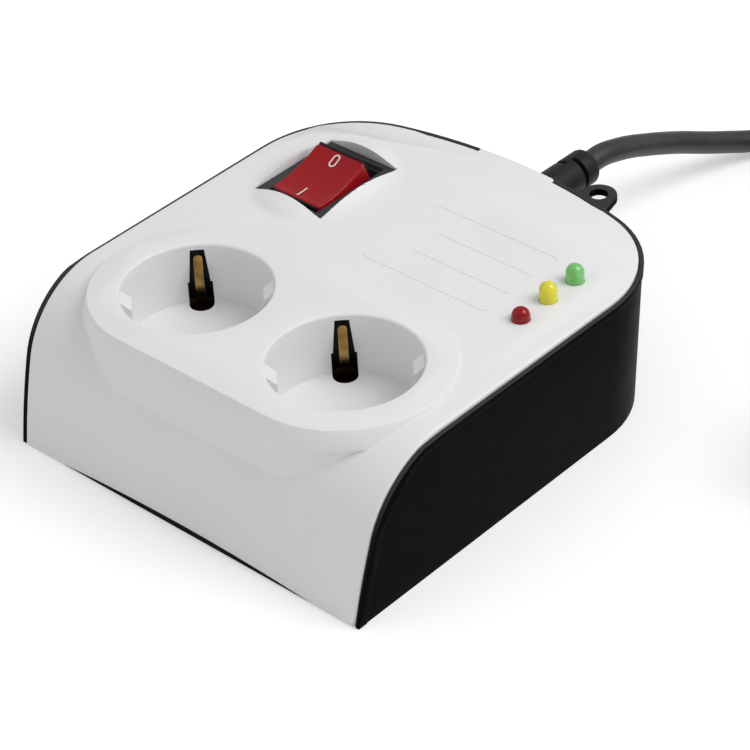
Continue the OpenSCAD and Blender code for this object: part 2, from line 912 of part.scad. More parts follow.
module switch_body() {
    shell_top = flange_z - pivot_z;
    shell_low = shell_top - switch_depth;
    color(dark_grey)
        at_pivot()
            difference() {
                union() {
                    translate([0, 0, shell_top])
                        linear_extrude(flange_t)
                            square([flange_w, flange_l], center = true);
                    translate([0, 0, shell_low])
                        linear_extrude(switch_depth)
                            square([shell_w, shell_l], center = true);
                }
                translate([0, 0, shell_low + shell_floor_t])
                    linear_extrude(switch_depth + flange_t)
                        square([rocker_w + 2 * well_play, well_l], center = true);
                translate([0, 0, shell_top])
                    linear_extrude(flange_t + over)
                        square([rocker_w + 2 * well_play, well_l + 2 * well_step], center = true);
                rotate([0, 90, 0])
                    cylinder(r = trunnion_r + trunnion_play, h = shell_w + over, center = true);
                for (x = [-lever_x, lever_x])
                    for (y = [0, button_y])
                        translate([x, y, shell_low])
                            linear_extrude(over, center = true)
                                square([blade_w + 2 * blade_play, blade_t + 2 * blade_play], center = true);
            }
}

module switch_terminals() {
    shell_low = flange_z - pivot_z - switch_depth;
    blade_low = shell_low - blade_l;
    saddle_top = -lever_drop - lever_t / 2 - contact_air;
    pad_top = -contact_drop - contact_air;
    color(brass)
        at_pivot()
            for (x = [-lever_x, lever_x])
                translate([x, 0, 0]) {
                    box_between(-blade_w / 2, blade_w / 2, -blade_t / 2, blade_t / 2,
                        blade_low, saddle_top - saddle_low);
                    box_between(-saddle_w / 2, saddle_w / 2, -blade_t / 2, blade_t / 2,
                        blade_low, saddle_top);
                    box_between(-blade_w / 2, blade_w / 2, button_y - blade_t / 2,
                        button_y + blade_t / 2, blade_low, pad_top - button_h);
                    box_between(-lever_w / 2, lever_w / 2, button_y - button_r, button_y + button_r,
                        pad_top - button_h - blade_t, pad_top - button_h);
                    translate([0, button_y])
                        rod(button_r, pad_top - button_h, pad_top);
                }
}

module contact_levers() {
    color(brass)
        at_pivot()
            translate([0, 0, -lever_drop])
                rotate([-lever_tilt, 0, 0])
                    for (x = [-lever_x, lever_x])
                        translate([x, 0, 0]) {
                            box_between(-lever_w / 2, lever_w / 2, -lever_front, lever_rear,
                                -lever_t / 2, lever_t / 2);
                            rotate([0, 90, 0])
                                cylinder(r = lever_pivot_r, h = lever_w, center = true);
                            translate([0, button_y])
                                rod(button_r, -lever_t / 2 - button_h, -lever_t / 2);
                        }
}

module at_rocker() {
    at_pivot()
        rotate([rocker_tilt, 0, 0])
            children();
}

// Half length of the rocker at a height above the pivot
function rocker_half(z) = rocker_low_half + (rocker_half_l - rocker_low_half)
    * (z + rocker_low) / (rocker_top + rocker_low);
module rocker_slice(low, high) {
    rotate([90, 0, 90])
        linear_extrude(rocker_w, center = true)
            polygon([[-rocker_half(low), low], [rocker_half(low), low],
                [rocker_half(high), high], [-rocker_half(high), high]]);
}

module rocker_carrier() {
    color(black)
        at_rocker() {
            rocker_slice(-rocker_low, lens_low);
            rotate([0, 90, 0])
                cylinder(r = trunnion_r, h = rocker_w + 2 * trunnion_l, center = true);
            for (x = [-lever_x, lever_x])
                translate([x, 0, 0]) {
                    rod(plunger_r, plunger_r - plunger_reach, 0);
                    translate([0, 0, plunger_r - plunger_reach])
                        sphere(r = plunger_r);
                }
        }
}

module rocker_lens() {
    hollow_r = (pow(rocker_half_l, 2) + pow(rocker_hollow, 2)) / (2 * rocker_hollow);
    color(lens_red)
        at_rocker()
            difference() {
                rocker_slice(lens_low, rocker_top);
                translate([0, 0, rocker_top - rocker_hollow + hollow_r])
                    rotate([0, 90, 0])
                        cylinder(r = hollow_r, h = rocker_w + over, center = true, $fn = 180);
                box_between(-lens_pocket_w / 2, lens_pocket_w / 2, -lens_pocket_l / 2,
                    lens_pocket_l / 2, lens_low - over, lens_low + lens_pocket_h);
            }
}

module rocker_lamp() {
    color(ivory)
        at_rocker()
            translate([0, 0, lens_low + neon_lift + neon_r]) {
                rotate([0, 90, 0])
                    cylinder(r = neon_r, h = neon_l - neon_r, center = true);
                translate([neon_l / 2 - neon_r, 0, 0])
                    sphere(r = neon_r);
            }
}

// Circuit board and what stands on it
module on_board(at) {
    translate([board_x + at[0], board_y + at[1], board_top])
        children();
}

module circuit_board() {
    color([0.13, 0.36, 0.2])
        difference() {
            box_between(board_x, board_x + board_w, board_y, board_y + board_d, board_z, board_top);
            for (p = board_spots)
                translate(p)
                    rod(board_hole_r, board_z - over, board_top + over);
        }
}

module board_screws() {
    color(steel)
        for (p = board_spots)
            translate([p[0], p[1], board_top])
                mirror([0, 0, 1])
                    screw(board_screw_r, board_screw_l, board_head_r, board_head_h);
}

// Block with its top edges chamfered
module cased(size, bevel) {
    low = size[2] - bevel;
    cube([size[0], size[1], low]);
    intersection() {
        translate([0, 0, low])
            cube([size[0], size[1], bevel]);
        translate([size[0] / 2, 0, 0])
            rotate([-90, 0, 0])
                linear_extrude(size[1])
                    polygon([[-size[0] / 2, 0], [-size[0] / 2, -low], [bevel - size[0] / 2, -size[2]],
                        [size[0] / 2 - bevel, -size[2]], [size[0] / 2, -low], [size[0] / 2, 0]]);
        translate([0, size[1] / 2, 0])
            rotate([90, 0, 90])
                linear_extrude(size[0])
                    polygon([[-size[1] / 2, 0], [-size[1] / 2, low], [bevel - size[1] / 2, size[2]],
                        [size[1] / 2 - bevel, size[2]], [size[1] / 2, low], [size[1] / 2, 0]]);
    }
}

module relay() {
    color([0.12, 0.2, 0.42])
        on_board(relay_at)
            cased(relay_size, relay_bevel);
}

module film_capacitor() {
    color([0.72, 0.6, 0.2])
        on_board(film_at)
            cased(film_size, film_bevel);
}

module storage_capacitor() {
    color([0.08, 0.1, 0.2])
        on_board(storage_at)
            rotate_extrude()
                polygon([[0, 0], [storage_r - storage_neck, 0], [storage_r, storage_neck],
                    [storage_r, storage_neck_z], [storage_r - storage_neck, storage_neck_z + storage_neck],
                    [storage_r, storage_neck_z + 2 * storage_neck], [storage_r, storage_h - storage_neck],
                    [storage_r - storage_neck, storage_h],
                    [storage_r - storage_neck - storage_base_t, storage_h - storage_neck / 2],
                    [0, storage_h - storage_neck / 2]]);
}

module varistor() {
    color([0.1, 0.3, 0.55])
        on_board(disc_at) {
            translate([0, 0, disc_lift + disc_r])
                rotate([90, 0, 0])
                    rotate_extrude()
                        polygon([[0, -disc_t / 2], [disc_r - disc_edge, -disc_t / 2],
                            [disc_r, -disc_edge / 2], [disc_r, disc_edge / 2],
                            [disc_r - disc_edge, disc_t / 2], [0, disc_t / 2]]);
            for (side = [-1, 1])
                translate([side * disc_lead_pitch / 2, 0])
                    box_between(-lead_w / 2, lead_w / 2, -lead_w / 2, lead_w / 2, 0, disc_lift + disc_r);
        }
}

module indicator(row, tone) {
    tip = body_h + lamp_tips[row];
    low = tip - lamp_body_h - lamp_rim_h;
    lens_r = lamp_d / 2;
    color(tone)
        translate([lamp_x, socket_y + lamp_rows[row]]) {
            rod(lamp_rim_r, low, low + lamp_rim_h);
            rod(lens_r, low, tip - lens_r);
            translate([0, 0, tip - lens_r])
                sphere(r = lens_r);
            for (side = [-1, 1])
                translate([side * lead_pitch / 2, 0])
                    box_between(-lead_w / 2, lead_w / 2, -lead_w / 2, lead_w / 2, board_top, low);
        }
}

module lamp_red() {
    indicator(0, [0.6, 0.1, 0.12]);
}

module lamp_yellow() {
    indicator(1, [0.85, 0.83, 0.25]);
}

module lamp_green() {
    indicator(2, [0.4, 0.75, 0.4]);
}

// Cord, its strain relief and the wires inside
boot_end = rear_y + boot_l;
wall_in = rear_y - wall_in_y;
wall_out = rear_y - wall_out_y;
flange_in = wall_in - boot_flange_t;

module along_cord(y) {
    translate([0, y, cord_z])
        rotate([-90, 0, 0])
            children();
}

module strain_relief() {
    boot_r = boot_d / 2;
    long = boot_end - flange_in;
    in_wall = boot_flange_t + wall_out - wall_in;
    color(cord_grey)
        along_cord(flange_in)
            difference() {
                rotate_extrude()
                    polygon(concat([[0, 0], [boot_flange_r, 0], [boot_flange_r, boot_flange_t],
                        [neck_r, boot_flange_t], [neck_r, in_wall], [boot_r, in_wall]],
                        arc(boot_r - boot_taper - boot_round, long - boot_round, boot_round, 0, 90, 8),
                        [[0, long]]));
                for (i = [0, 1])
                    translate([0, 0, long - boot_slot_back - i * boot_slot_step])
                        mirror([i, 0, 0])
                            boot_slot();
            }
}

// One of the cuts that let the strain relief bend, over its top and one side
module boot_slot() {
    difference() {
        linear_extrude(boot_slot_w)
            polygon([[0, 0], [0, -boot_d], [boot_d, -boot_d], [boot_d, boot_d]]);
        rod(boot_slot_core_r, -over, over);
    }
}

module cord_inner() {
    color(cord_grey)
        along_cord(flange_in - tail_l)
            cylinder(d = cord_d, h = tail_l);
}

run_points = [[0, boot_end, cord_z], [0, 97, cord_z], [0.2, 103, 26.1], [0.4, 109, 24.3], [0.7, 115, 22],
    [1.1, 122, 19.2], [2, 131, 15.4], [3.4, 140, 11.4], [5.2, 149, 7.8], [7.8, 157, 5.2], [11.3, 165, 4.2],
    [16.3, 171.8, 4], [22.2, 177.8, 4], [28, 183.6, 4], [33.5, 189, 4]];

function tangent(a) = [sin(a), -cos(a), 0];
function coil_r(t) = t < coil_in_turns ? coil_outer_r - coil_step * t
    : t < coil_in_turns + coil_climb_turns
    ? coil_inner_r - coil_step * coil_climb_turns / PI * sin(180 * (t - coil_in_turns) / coil_climb_turns)
    : coil_inner_r + coil_step * (t - coil_in_turns - coil_climb_turns);
function coil_z(t) = t < coil_in_turns ? coil_low
    : t < coil_in_turns + coil_climb_turns
    ? coil_low + coil_climb * (1 - cos(180 * (t - coil_in_turns) / coil_climb_turns)) / 2
    : coil_top;
function coil_point(t) = let (a = coil_start - 360 * t)
    [coil_at[0] + coil_r(t) * cos(a), coil_at[1] + coil_r(t) * sin(a), coil_z(t)];
coil_n = ceil(coil_turns * coil_rings);
coil_entry = coil_point(0) - cord_d * tangent(coil_start);
coil_exit = coil_point(coil_turns) + cord_d * tangent(coil_start - 360 * coil_turns);
coil_points = concat([coil_entry], [for (i = [0:coil_n]) coil_point(coil_turns * i / coil_n)], [coil_exit]);
run_path = concat(run_points, [coil_entry]);
end_path = [coil_exit, coil_exit + [0, -7, 0], coil_exit + [0, -16, 1.2], coil_exit + [0, -26, 4],
    coil_exit + [0, -36, 7.2], [coil_exit[0], plug_end_y + 7, plug_axis_z],
    [coil_exit[0], plug_end_y, plug_axis_z]];

// Length of the cord and the least gap between turns of the coil, for reference
function path_l(p) = norm(p[1] - p[0]) + (len(p) > 2 ? path_l([for (i = [1:len(p) - 1]) p[i]]) : 0);
echo(cord_length = path_l(run_path) + path_l(coil_points) + path_l(end_path));
echo(coil_gap = min([for (i = [0:len(coil_points) - 1]) for (j = [i + coil_rings / 2:len(coil_points) - 1])
    norm(coil_points[i] - coil_points[j])]) - cord_d);

module cord_run() {
    color(cord_grey)
        tube(run_path, cord_d, cord_facets);
}

module cord_coil() {
    color(cord_grey)
        tube(coil_points, cord_d, coil_facets);
}

module cord_end() {
    color(cord_grey)
        tube(end_path, cord_d, cord_facets);
}

module cord_tie() {
    near = coil_inner_r - coil_step * coil_climb_turns / PI - cord_d / 2 - tie_play;
    far = coil_outer_r + cord_d / 2 + tie_play;
    high = coil_top + cord_d / 2 + tie_play + tie_t;
    color(black)
        translate([coil_at[0], coil_at[1], 0])
            rotate([0, 0, tie_turn])
                difference() {
                    box_between(near - tie_t, far + tie_t, -tie_w / 2, tie_w / 2, tie_low, high);
                    box_between(near, far, -tie_w, tie_w, tie_low + tie_t, high - tie_t);
                }
}

// Wires: each runs by hand-chosen points between two contacts
blade_face = switch_y + button_y + blade_t / 2;
common_face = switch_y - blade_t / 2;
tail_y = flange_in - tail_l;
function on_tail(a) = [wire_ring_r * cos(a), tail_y, cord_z + wire_ring_r * sin(a)];
pole_x = [switch_x - lever_x, switch_x + lever_x];
wire_z = 15;
bus_top = bus_z + bus_t;
live_tail_y = socket_y + pin_step + leaf_out + live_tail_l - solder_back;
neutral_tail_y = socket_y - pin_step + leaf_out + neutral_tail_l - solder_back;
live_in = concat([on_tail(150), on_tail(150) - [0, 3, 0]], [[-5, 43, 25.5], [-12, 39.5, 20.5],
    [-21, 38.8, 16.5], [-30, 38.8, wire_z], [-37, 38.6, wire_z]],
    [[pole_x[0], blade_face + 3, wire_z], [pole_x[0], blade_face, wire_z]]);
neutral_in = concat([on_tail(30), on_tail(30) - [0, 3, 0]], [[0, 40.6, 27], [-4, 37.2, 22.6],
    [-11, 35.5, 17.6], [-20, 35.2, wire_z], [-27, 35.4, wire_z]],
    [[pole_x[1], blade_face + 1.8, wire_z], [pole_x[1], blade_face, wire_z]]);
live_out = concat([[pole_x[0], common_face, wire_z], [pole_x[0], common_face - 3, wire_z]],
    [[-37, 14, wire_z], [-29, 9.5, wire_z], [-18, 8, 15.5], [-5, 8, 16], [5, 8, 16.8], [10, 8, 17.2]],
    [[board_x + 4, 8, board_top + 2], [board_x + 4, 8, board_top]]);
neutral_out = concat([[pole_x[1], common_face, wire_z], [pole_x[1], common_face - 3, wire_z]],
    [[-27, 15.5, wire_z], [-19, 13.2, 15.5], [-5, 13, 16], [5, 13, 16.8], [10, 13, 17.2]],
    [[board_x + 4, 13, board_top + 2], [board_x + 4, 13, board_top]]);
live_feed = concat([[17.5, board_y + 1.9, board_top], [17.5, board_y + 1.9, board_top + 3]],
    [[16, -5, 19.5], [11.5, -10, 20.2], [7, -15, 18]],
    [[live_tail_x, live_tail_y, bus_top + 3], [live_tail_x, live_tail_y, bus_top]]);
neutral_feed = concat([[board_x + 1.9, 4.2, board_top], [board_x + 1.9, 4.2, board_top + 2]],
    [[7, 2.2, 18], [-2, -3.5, 18], [-14, -9, 17.5], [-24, -14, 16.8]],
    [[neutral_tail_x, neutral_tail_y, bus_top + 3], [neutral_tail_x, neutral_tail_y, bus_top]]);
earth_in = concat([on_tail(270), on_tail(270) - [0, 3, 0]], [[2.8, 40.6, 23.2], [3.6, 33, 23.2],
    [3.4, 20, 24], [3, 6, 25], [1.6, -8, 26.5], [0.4, -20, 27.5], [0, -29, 27]],
    [[0, socket_y, cup_bottom + 1.6], [0, socket_y, cup_bottom - clip_t]]);

module wires_live() {
    color([0.4, 0.24, 0.14])
        for (path = [live_in, live_out, live_feed])
            tube(path, wire_d, wire_facets);
}

module wires_neutral() {
    color([0.15, 0.35, 0.65])
        for (path = [neutral_in, neutral_out, neutral_feed])
            tube(path, wire_d, wire_facets);
}

module wire_earth() {
    color([0.45, 0.6, 0.15])
        tube(earth_in, wire_d, wire_facets);
}

// Plug at the far end, lying on its collar with its face towards the front
module at_plug() {
    translate([coil_exit[0], plug_end_y, plug_axis_z])
        rotate([90, 0, 0])
            children();
}

module plug_body() {
    collar_at = plug_l - plug_face_l - plug_collar_t;
    face_r = plug_d / 2;
    color(cord_grey)
        at_plug()
            difference() {
                rotate_extrude()
                    polygon(concat([[0, 0], [plug_neck_r, 0], [plug_neck_r + plug_round, plug_neck_l],
                        [plug_grip_r, plug_grip_l], [plug_grip_r + plug_round, collar_at - plug_round],
                        [plug_collar_r, collar_at], [plug_collar_r, collar_at + plug_collar_t],
                        [face_r, collar_at + plug_collar_t]],
                        arc(face_r - plug_round, plug_l - plug_round, plug_round, 0, 90, 6),
                        [[0, plug_l]]));
                for (side = [-1, 1]) {
                    translate([side * pin_pitch / 2, 0])
                        rod(plug_pin_root_r + plug_pin_play, plug_l - plug_pin_root, plug_l + over);
                    rotate([0, 0, 90 * side])
                        box_between(face_r - plug_strip_t, face_r + over, -plug_strip_w / 2,
                            plug_strip_w / 2, plug_l - plug_strip_l, plug_l + over);
                    box_between(side * face_r - plug_guide_depth, side * face_r + plug_guide_depth,
                        -plug_guide_w / 2, plug_guide_w / 2, collar_at + plug_collar_t, plug_l + over);
                }
            }
}

module plug_pins() {
    pin_r = plug_pin_d / 2;
    tip = plug_l + plug_pin_l;
    color(steel)
        at_plug()
            for (side = [-1, 1])
                translate([side * pin_pitch / 2, 0]) {
                    rod(plug_pin_root_r, plug_l - plug_pin_root, plug_l);
                    rod(pin_r, plug_l, tip - pin_r);
                    translate([0, 0, tip - pin_r])
                        sphere(r = pin_r);
                }
}

module plug_earth_strips() {
    face_r = plug_d / 2;
    color(steel)
        at_plug()
            for (side = [-1, 1])
                rotate([0, 0, 90 * side])
                    box_between(face_r - plug_strip_t, face_r, -plug_strip_w / 2, plug_strip_w / 2,
                        plug_l - plug_strip_l, plug_l);
}

base_tub();
top_cover();
housing_screws();
socket_tray();
live_bus();
neutral_bus();
earth_clip_left();
earth_clip_right();
earth_link();
switch_body();
switch_terminals();
contact_levers();
rocker_carrier();
rocker_lens();
rocker_lamp();
circuit_board();
board_screws();
relay();
film_capacitor();
storage_capacitor();
varistor();
lamp_red();
lamp_yellow();
lamp_green();
wires_live();
wires_neutral();
wire_earth();
strain_relief();
cord_inner();
cord_run();
cord_coil();
cord_end();
cord_tie();
plug_body();
plug_pins();
plug_earth_strips();
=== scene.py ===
"""Looks of a mains voltage protector with two sockets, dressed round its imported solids.

Lengths are in metres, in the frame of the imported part: X runs along the sockets, Y from the
sloping front to the cord, and Z up from the face that the housing rests on.
"""

import logging
import math
from collections.abc import Iterable
from dataclasses import dataclass
from enum import Enum

import bmesh
import bpy
from bmesh.types import BMEdge, BMesh, BMVert
from bpy.types import ID, Material, Mesh, Node, NodeSocket, Object
from mathutils import Matrix, Vector


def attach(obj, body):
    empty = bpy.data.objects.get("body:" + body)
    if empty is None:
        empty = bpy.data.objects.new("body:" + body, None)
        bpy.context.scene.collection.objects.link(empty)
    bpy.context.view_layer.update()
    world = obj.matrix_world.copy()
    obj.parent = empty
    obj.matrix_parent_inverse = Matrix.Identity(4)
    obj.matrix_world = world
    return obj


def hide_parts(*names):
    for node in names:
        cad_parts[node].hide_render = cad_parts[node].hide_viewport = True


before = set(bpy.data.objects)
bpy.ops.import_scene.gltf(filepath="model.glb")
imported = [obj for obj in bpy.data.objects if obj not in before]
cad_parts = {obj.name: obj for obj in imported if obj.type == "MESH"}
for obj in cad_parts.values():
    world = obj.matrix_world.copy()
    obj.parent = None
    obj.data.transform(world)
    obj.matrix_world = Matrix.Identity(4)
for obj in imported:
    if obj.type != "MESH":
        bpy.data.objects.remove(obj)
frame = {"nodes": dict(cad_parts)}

log = logging.getLogger("voltage_protector")
MM = 0.001
Colour = tuple[float, float, float]
Pair = tuple[float, float]
Point = tuple[float, float, float]
SHARP_DEGREES = 40.0
FLAT_DEGREES = 0.4
NEAR = 1e-5
MERGE_GAP = 1e-6
CUT_GAP = 1e-7
SLIVER = 0.00003


class Body(Enum):
    """The rigid bodies that a piece can ride on."""

    HOUSING = "housing"
    ROCKER = "rocker"
    LEVERS = "levers"


# Shader nodes


class Signal:
    """A number that a node gives out. Python's operators join signals through Math nodes."""

    def __init__(self, sheet: "NodeSheet", socket: NodeSocket) -> None:
        """Wraps a socket of a node on a sheet.

        Args:
            sheet: The sheet that the node stands on.
            socket: The output that carries the number.
        """
        self.sheet = sheet
        self.socket = socket

    def _join(self, operation: str, first: object, second: object) -> "Signal":
        """Adds one Math node.

        Args:
            operation: Name of the Math operation.
            first: Its first value, a signal or a number.
            second: Its second value, a signal or a number.

        Returns:
            The result as a signal.
        """
        node = self.sheet.add("ShaderNodeMath", {"operation": operation}, {0: first, 1: second})
        return Signal(self.sheet, node.outputs[0])

    def __add__(self, other: object) -> "Signal":
        """Sum of two signals."""
        return self._join("ADD", self, other)

    def __radd__(self, other: object) -> "Signal":
        """Sum with a number on the left."""
        return self._join("ADD", other, self)

    def __sub__(self, other: object) -> "Signal":
        """Difference of two signals."""
        return self._join("SUBTRACT", self, other)

    def __rsub__(self, other: object) -> "Signal":
        """Difference with a number on the left."""
        return self._join("SUBTRACT", other, self)

    def __mul__(self, other: object) -> "Signal":
        """Product of two signals."""
        return self._join("MULTIPLY", self, other)

    def __rmul__(self, other: object) -> "Signal":
        """Product with a number on the left."""
        return self._join("MULTIPLY", other, self)

    def swing(self, depth: float, rest: float = 0.5) -> "Signal":
        """This signal's swing about its resting value, scaled to a depth."""
        return (self - rest) * depth


class NodeSheet:
    """The node tree of one material."""

    def __init__(self, name: str) -> None:
        """Makes an empty material.

        Args:
            name: Name of the material.
        """
        self.material = bpy.data.materials.new(name)
        self.material.use_nodes = True
        self.tree = self.material.node_tree
        self.tree.nodes.clear()

    def add(
        self,
        kind: str,
        settings: dict[str, object] | None = None,
        values: dict[int | str, object] | None = None,
    ) -> Node:
        """Adds a node: its settings first, then the values or links of its sockets.

        Args:
            kind: Blender's type name of the node.
            settings: Properties of the node, such as a Math node's operation.
            values: A number, colour, socket or signal for each input named here.

        Returns:
            The new node.
        """
        node = self.tree.nodes.new(kind)
        for key, setting in (settings or {}).items():
            setattr(node, key, setting)
        for key, value in (values or {}).items():
            if isinstance(value, Signal):
                value = value.socket
            if isinstance(value, NodeSocket):
                self.tree.links.new(value, node.inputs[key])
            else:
                node.inputs[key].default_value = value
        return node

    def place(self, stretch: Point = (1.0, 1.0, 1.0)) -> NodeSocket:
        """Object coordinates, stretched along the axes.

        Args:
            stretch: Factor along each axis.

        Returns:
            The coordinates as a vector socket.
        """
        here = self.add("ShaderNodeTexCoord").outputs["Object"]
        if stretch == (1.0, 1.0, 1.0):
            return here
        return self.add("ShaderNodeMapping", {}, {"Vector": here, "Scale": stretch}).outputs["Vector"]

    def noise(
        self,
        size: float,
        detail: float = 2.0,
        rough: float = 0.5,
        stretch: Point = (1.0, 1.0, 1.0),
    ) -> Signal:
        """Soft noise whose patches are about one size.

        Args:
            size: Size of the patches.
            detail: Number of finer octaves.
            rough: Share that each finer octave keeps.
            stretch: Factor on the coordinates along each axis.

        Returns:
            A signal from 0 to 1.
        """
        node = self.add(
            "ShaderNodeTexNoise",
            {"noise_dimensions": "3D"},
            {"Vector": self.place(stretch), "Scale": 1 / size, "Detail": detail, "Roughness": rough},
        )
        return Signal(self, node.outputs["Fac"])

    def height(self) -> Signal:
        """Height above the face that the housing rests on."""
        return Signal(self, self.add("ShaderNodeSeparateXYZ", {}, {0: self.place()}).outputs["Z"])

    def upward(self) -> Signal:
        """How far a surface looks up: 1 on a level top, 0 on an upright wall."""
        facing = self.add("ShaderNodeNewGeometry").outputs["Normal"]
        return Signal(self, self.add("ShaderNodeSeparateXYZ", {}, {0: facing}).outputs["Z"])

    def span(
        self, signal: Signal, low: float, high: float, to_low: float = 0.0, to_high: float = 1.0
    ) -> Signal:
        """Spreads part of a signal's range smoothly over another range.

        Args:
            signal: The signal to spread.
            low: Value that becomes to_low.
            high: Value that becomes to_high.
            to_low: Start of the new range.
            to_high: End of the new range.

        Returns:
            The spread signal.
        """
        node = self.add(
            "ShaderNodeMapRange",
            {"interpolation_type": "SMOOTHSTEP"},
            {"Value": signal, "From Min": low, "From Max": high, "To Min": to_low, "To Max": to_high},
        )
        return Signal(self, node.outputs["Result"])

    def blend(self, share: Signal, first: object, second: object) -> NodeSocket:
        """Mixes two colours.

        Args:
            share: How much of the second colour shows.
            first: A colour, or a socket that gives one.
            second: A colour, or a socket that gives one.

        Returns:
            The mixed colour.
        """
        first, second = ((*c, 1.0) if isinstance(c, tuple) else c for c in (first, second))
        node = self.add("ShaderNodeMix", {"data_type": "RGBA"}, {0: share, 6: first, 7: second})
        return node.outputs[2]

    def bump(self, height: Signal, depth: float) -> NodeSocket:
        """Turns a height signal into a bumped normal.

        Args:
            height: The height, from 0 to 1.
            depth: Depth of the whole range.

        Returns:
            The normal.
        """
        values = {"Height": height, "Distance": depth, "Strength": 1.0}
        return self.add("ShaderNodeBump", {}, values).outputs["Normal"]

    def finish(self, values: dict[int | str, object]) -> Material:
        """Ends the sheet in one Principled shader.

        Args:
            values: Values or links of the shader's sockets.

        Returns:
            The material.
        """
        shader = self.add("ShaderNodeBsdfPrincipled", {}, values)
        self.add("ShaderNodeOutputMaterial", {}, {"Surface": shader.outputs[0]})
        return self.material


def shade(colour: Colour, factor: float) -> Colour:
    """A colour made darker or lighter by a factor."""
    return tuple(min(1.0, part * factor) for part in colour)


# Finishes

# A pair such as cloudy says where on a noise an effect starts and where it is full.
# A swing says how far a noise moves the roughness up and down.


@dataclass(frozen=True)
class MouldedPlastic:
    """Injection-moulded plastic: an even colour with faint flow clouds, a fine spark grain, and where set a
    painted sheen that lightens the faces that look up.
    """

    name: str
    colour: Colour
    roughness: float = 0.42
    gloss: float = 0.5
    cloud: float = 0.03
    cloud_size: float = 0.03
    grain_size: float = 0.0004
    grain_depth: float = 0.000004
    ior: float = 1.5
    dust_and_sheen: Colour | None = None
    cloudy: Pair = (0.3, 0.7)
    dust_and_sheen_span: Pair = (0.1, 0.85)
    smudge_swing: float = 0.16
    grain_swing: float = 0.06

    def material(self) -> Material:
        """Builds the material.

        Returns:
            The material.
        """
        sheet = NodeSheet(self.name)
        clouds = sheet.noise(self.cloud_size, detail=3.0)
        smudges = sheet.noise(self.cloud_size / 4, detail=4.0, rough=0.6)
        grain = sheet.noise(self.grain_size, rough=0.6)
        clouded = shade(self.colour, 1 - self.cloud)
        base = sheet.blend(sheet.span(clouds, *self.cloudy), self.colour, clouded)
        # Painted sheen: faces that look up are blended towards a lighter colour, standing in for the light
        # and reflection they catch.
        if self.dust_and_sheen:
            base = sheet.blend(sheet.span(sheet.upward(), *self.dust_and_sheen_span), base, self.dust_and_sheen)
        uneven = smudges.swing(self.smudge_swing)
        return sheet.finish(
            {
                "Base Color": base,
                "Roughness": self.roughness + uneven + grain.swing(self.grain_swing),
                "Normal": sheet.bump(grain, self.grain_depth),
                "Specular IOR Level": self.gloss,
                "IOR": self.ior,
            }
        )


@dataclass(frozen=True)
class SoftJacket:
    """Soft black compound of a cord: matt, with dust in its pores and in faint clouds."""

    name: str
    colour: Colour
    # This dust colour is real dust in the pores and clouds, with no painted sheen.
    dust_and_sheen: Colour
    roughness: float = 0.55
    gloss: float = 0.4
    cloud_size: float = 0.012
    pore_size: float = 0.0006
    pore_depth: float = 0.00002
    pore_share: float = 0.4
    dust_and_sheen_span: Pair = (0.45, 0.68)
    dust_share: float = 0.55
    cloud_swing: float = 0.2

    def material(self) -> Material:
        """Builds the material.

        Returns:
            The material.
        """
        sheet = NodeSheet(self.name)
        clouds = sheet.noise(self.cloud_size, detail=4.0, rough=0.6)
        pores = sheet.noise(self.pore_size, detail=3.0, rough=0.7)
        both = clouds * (1 - self.pore_share) + pores * self.pore_share
        dust_and_sheen_span = sheet.span(both, *self.dust_and_sheen_span, 0.0, self.dust_share)
        return sheet.finish(
            {
                "Base Color": sheet.blend(dust_and_sheen_span, self.colour, self.dust_and_sheen),
                "Roughness": self.roughness + clouds.swing(self.cloud_swing),
                "Normal": sheet.bump(pores, self.pore_depth),
                "Specular IOR Level": self.gloss,
            }
        )


@dataclass(frozen=True)
class RolledMetal:
    """Rolled and stamped sheet metal: fine lines along one axis, with tarnish in patches, and where set a
    painted shade that darkens it below a height.
    """

    name: str
    colour: Colour
    tarnish: Colour
    roughness: float = 0.3
    lines: Point = (1.0, 1.0, 0.06)
    line_size: float = 0.00025
    line_depth: float = 0.000006
    patch_size: float = 0.004
    worn: float = 0.6
    painted_shade_z: float = 0.0
    painted_shade_span: float = 0.006
    painted_shade_factor: float = 0.3
    stained: Pair = (0.42, 0.72)
    stain_rough: float = 0.25
    line_swing: float = 0.12

    def material(self) -> Material:
        """Builds the material.

        Returns:
            The material.
        """
        sheet = NodeSheet(self.name)
        patches = sheet.noise(self.patch_size, detail=4.0, rough=0.6)
        lines = sheet.noise(self.line_size, stretch=self.lines)
        stain = sheet.span(patches, *self.stained, 0.0, self.worn)
        base = sheet.blend(stain, self.colour, self.tarnish)
        # Painted shade: below a set height the metal darkens towards a deep tarnish colour, standing in for
        # the shade inside the socket slots.
        if self.painted_shade_z:
            low = sheet.span(sheet.height(), self.painted_shade_z, self.painted_shade_z + self.painted_shade_span, 1.0, 0.0)
            base = sheet.blend(low, base, shade(self.tarnish, self.painted_shade_factor))
        rough = self.roughness + stain * self.stain_rough + lines.swing(self.line_swing)
        return sheet.finish(
            {
                "Base Color": base,
                "Metallic": 1.0,
                "Roughness": rough,
                "Normal": sheet.bump(lines, self.line_depth),
            }
        )


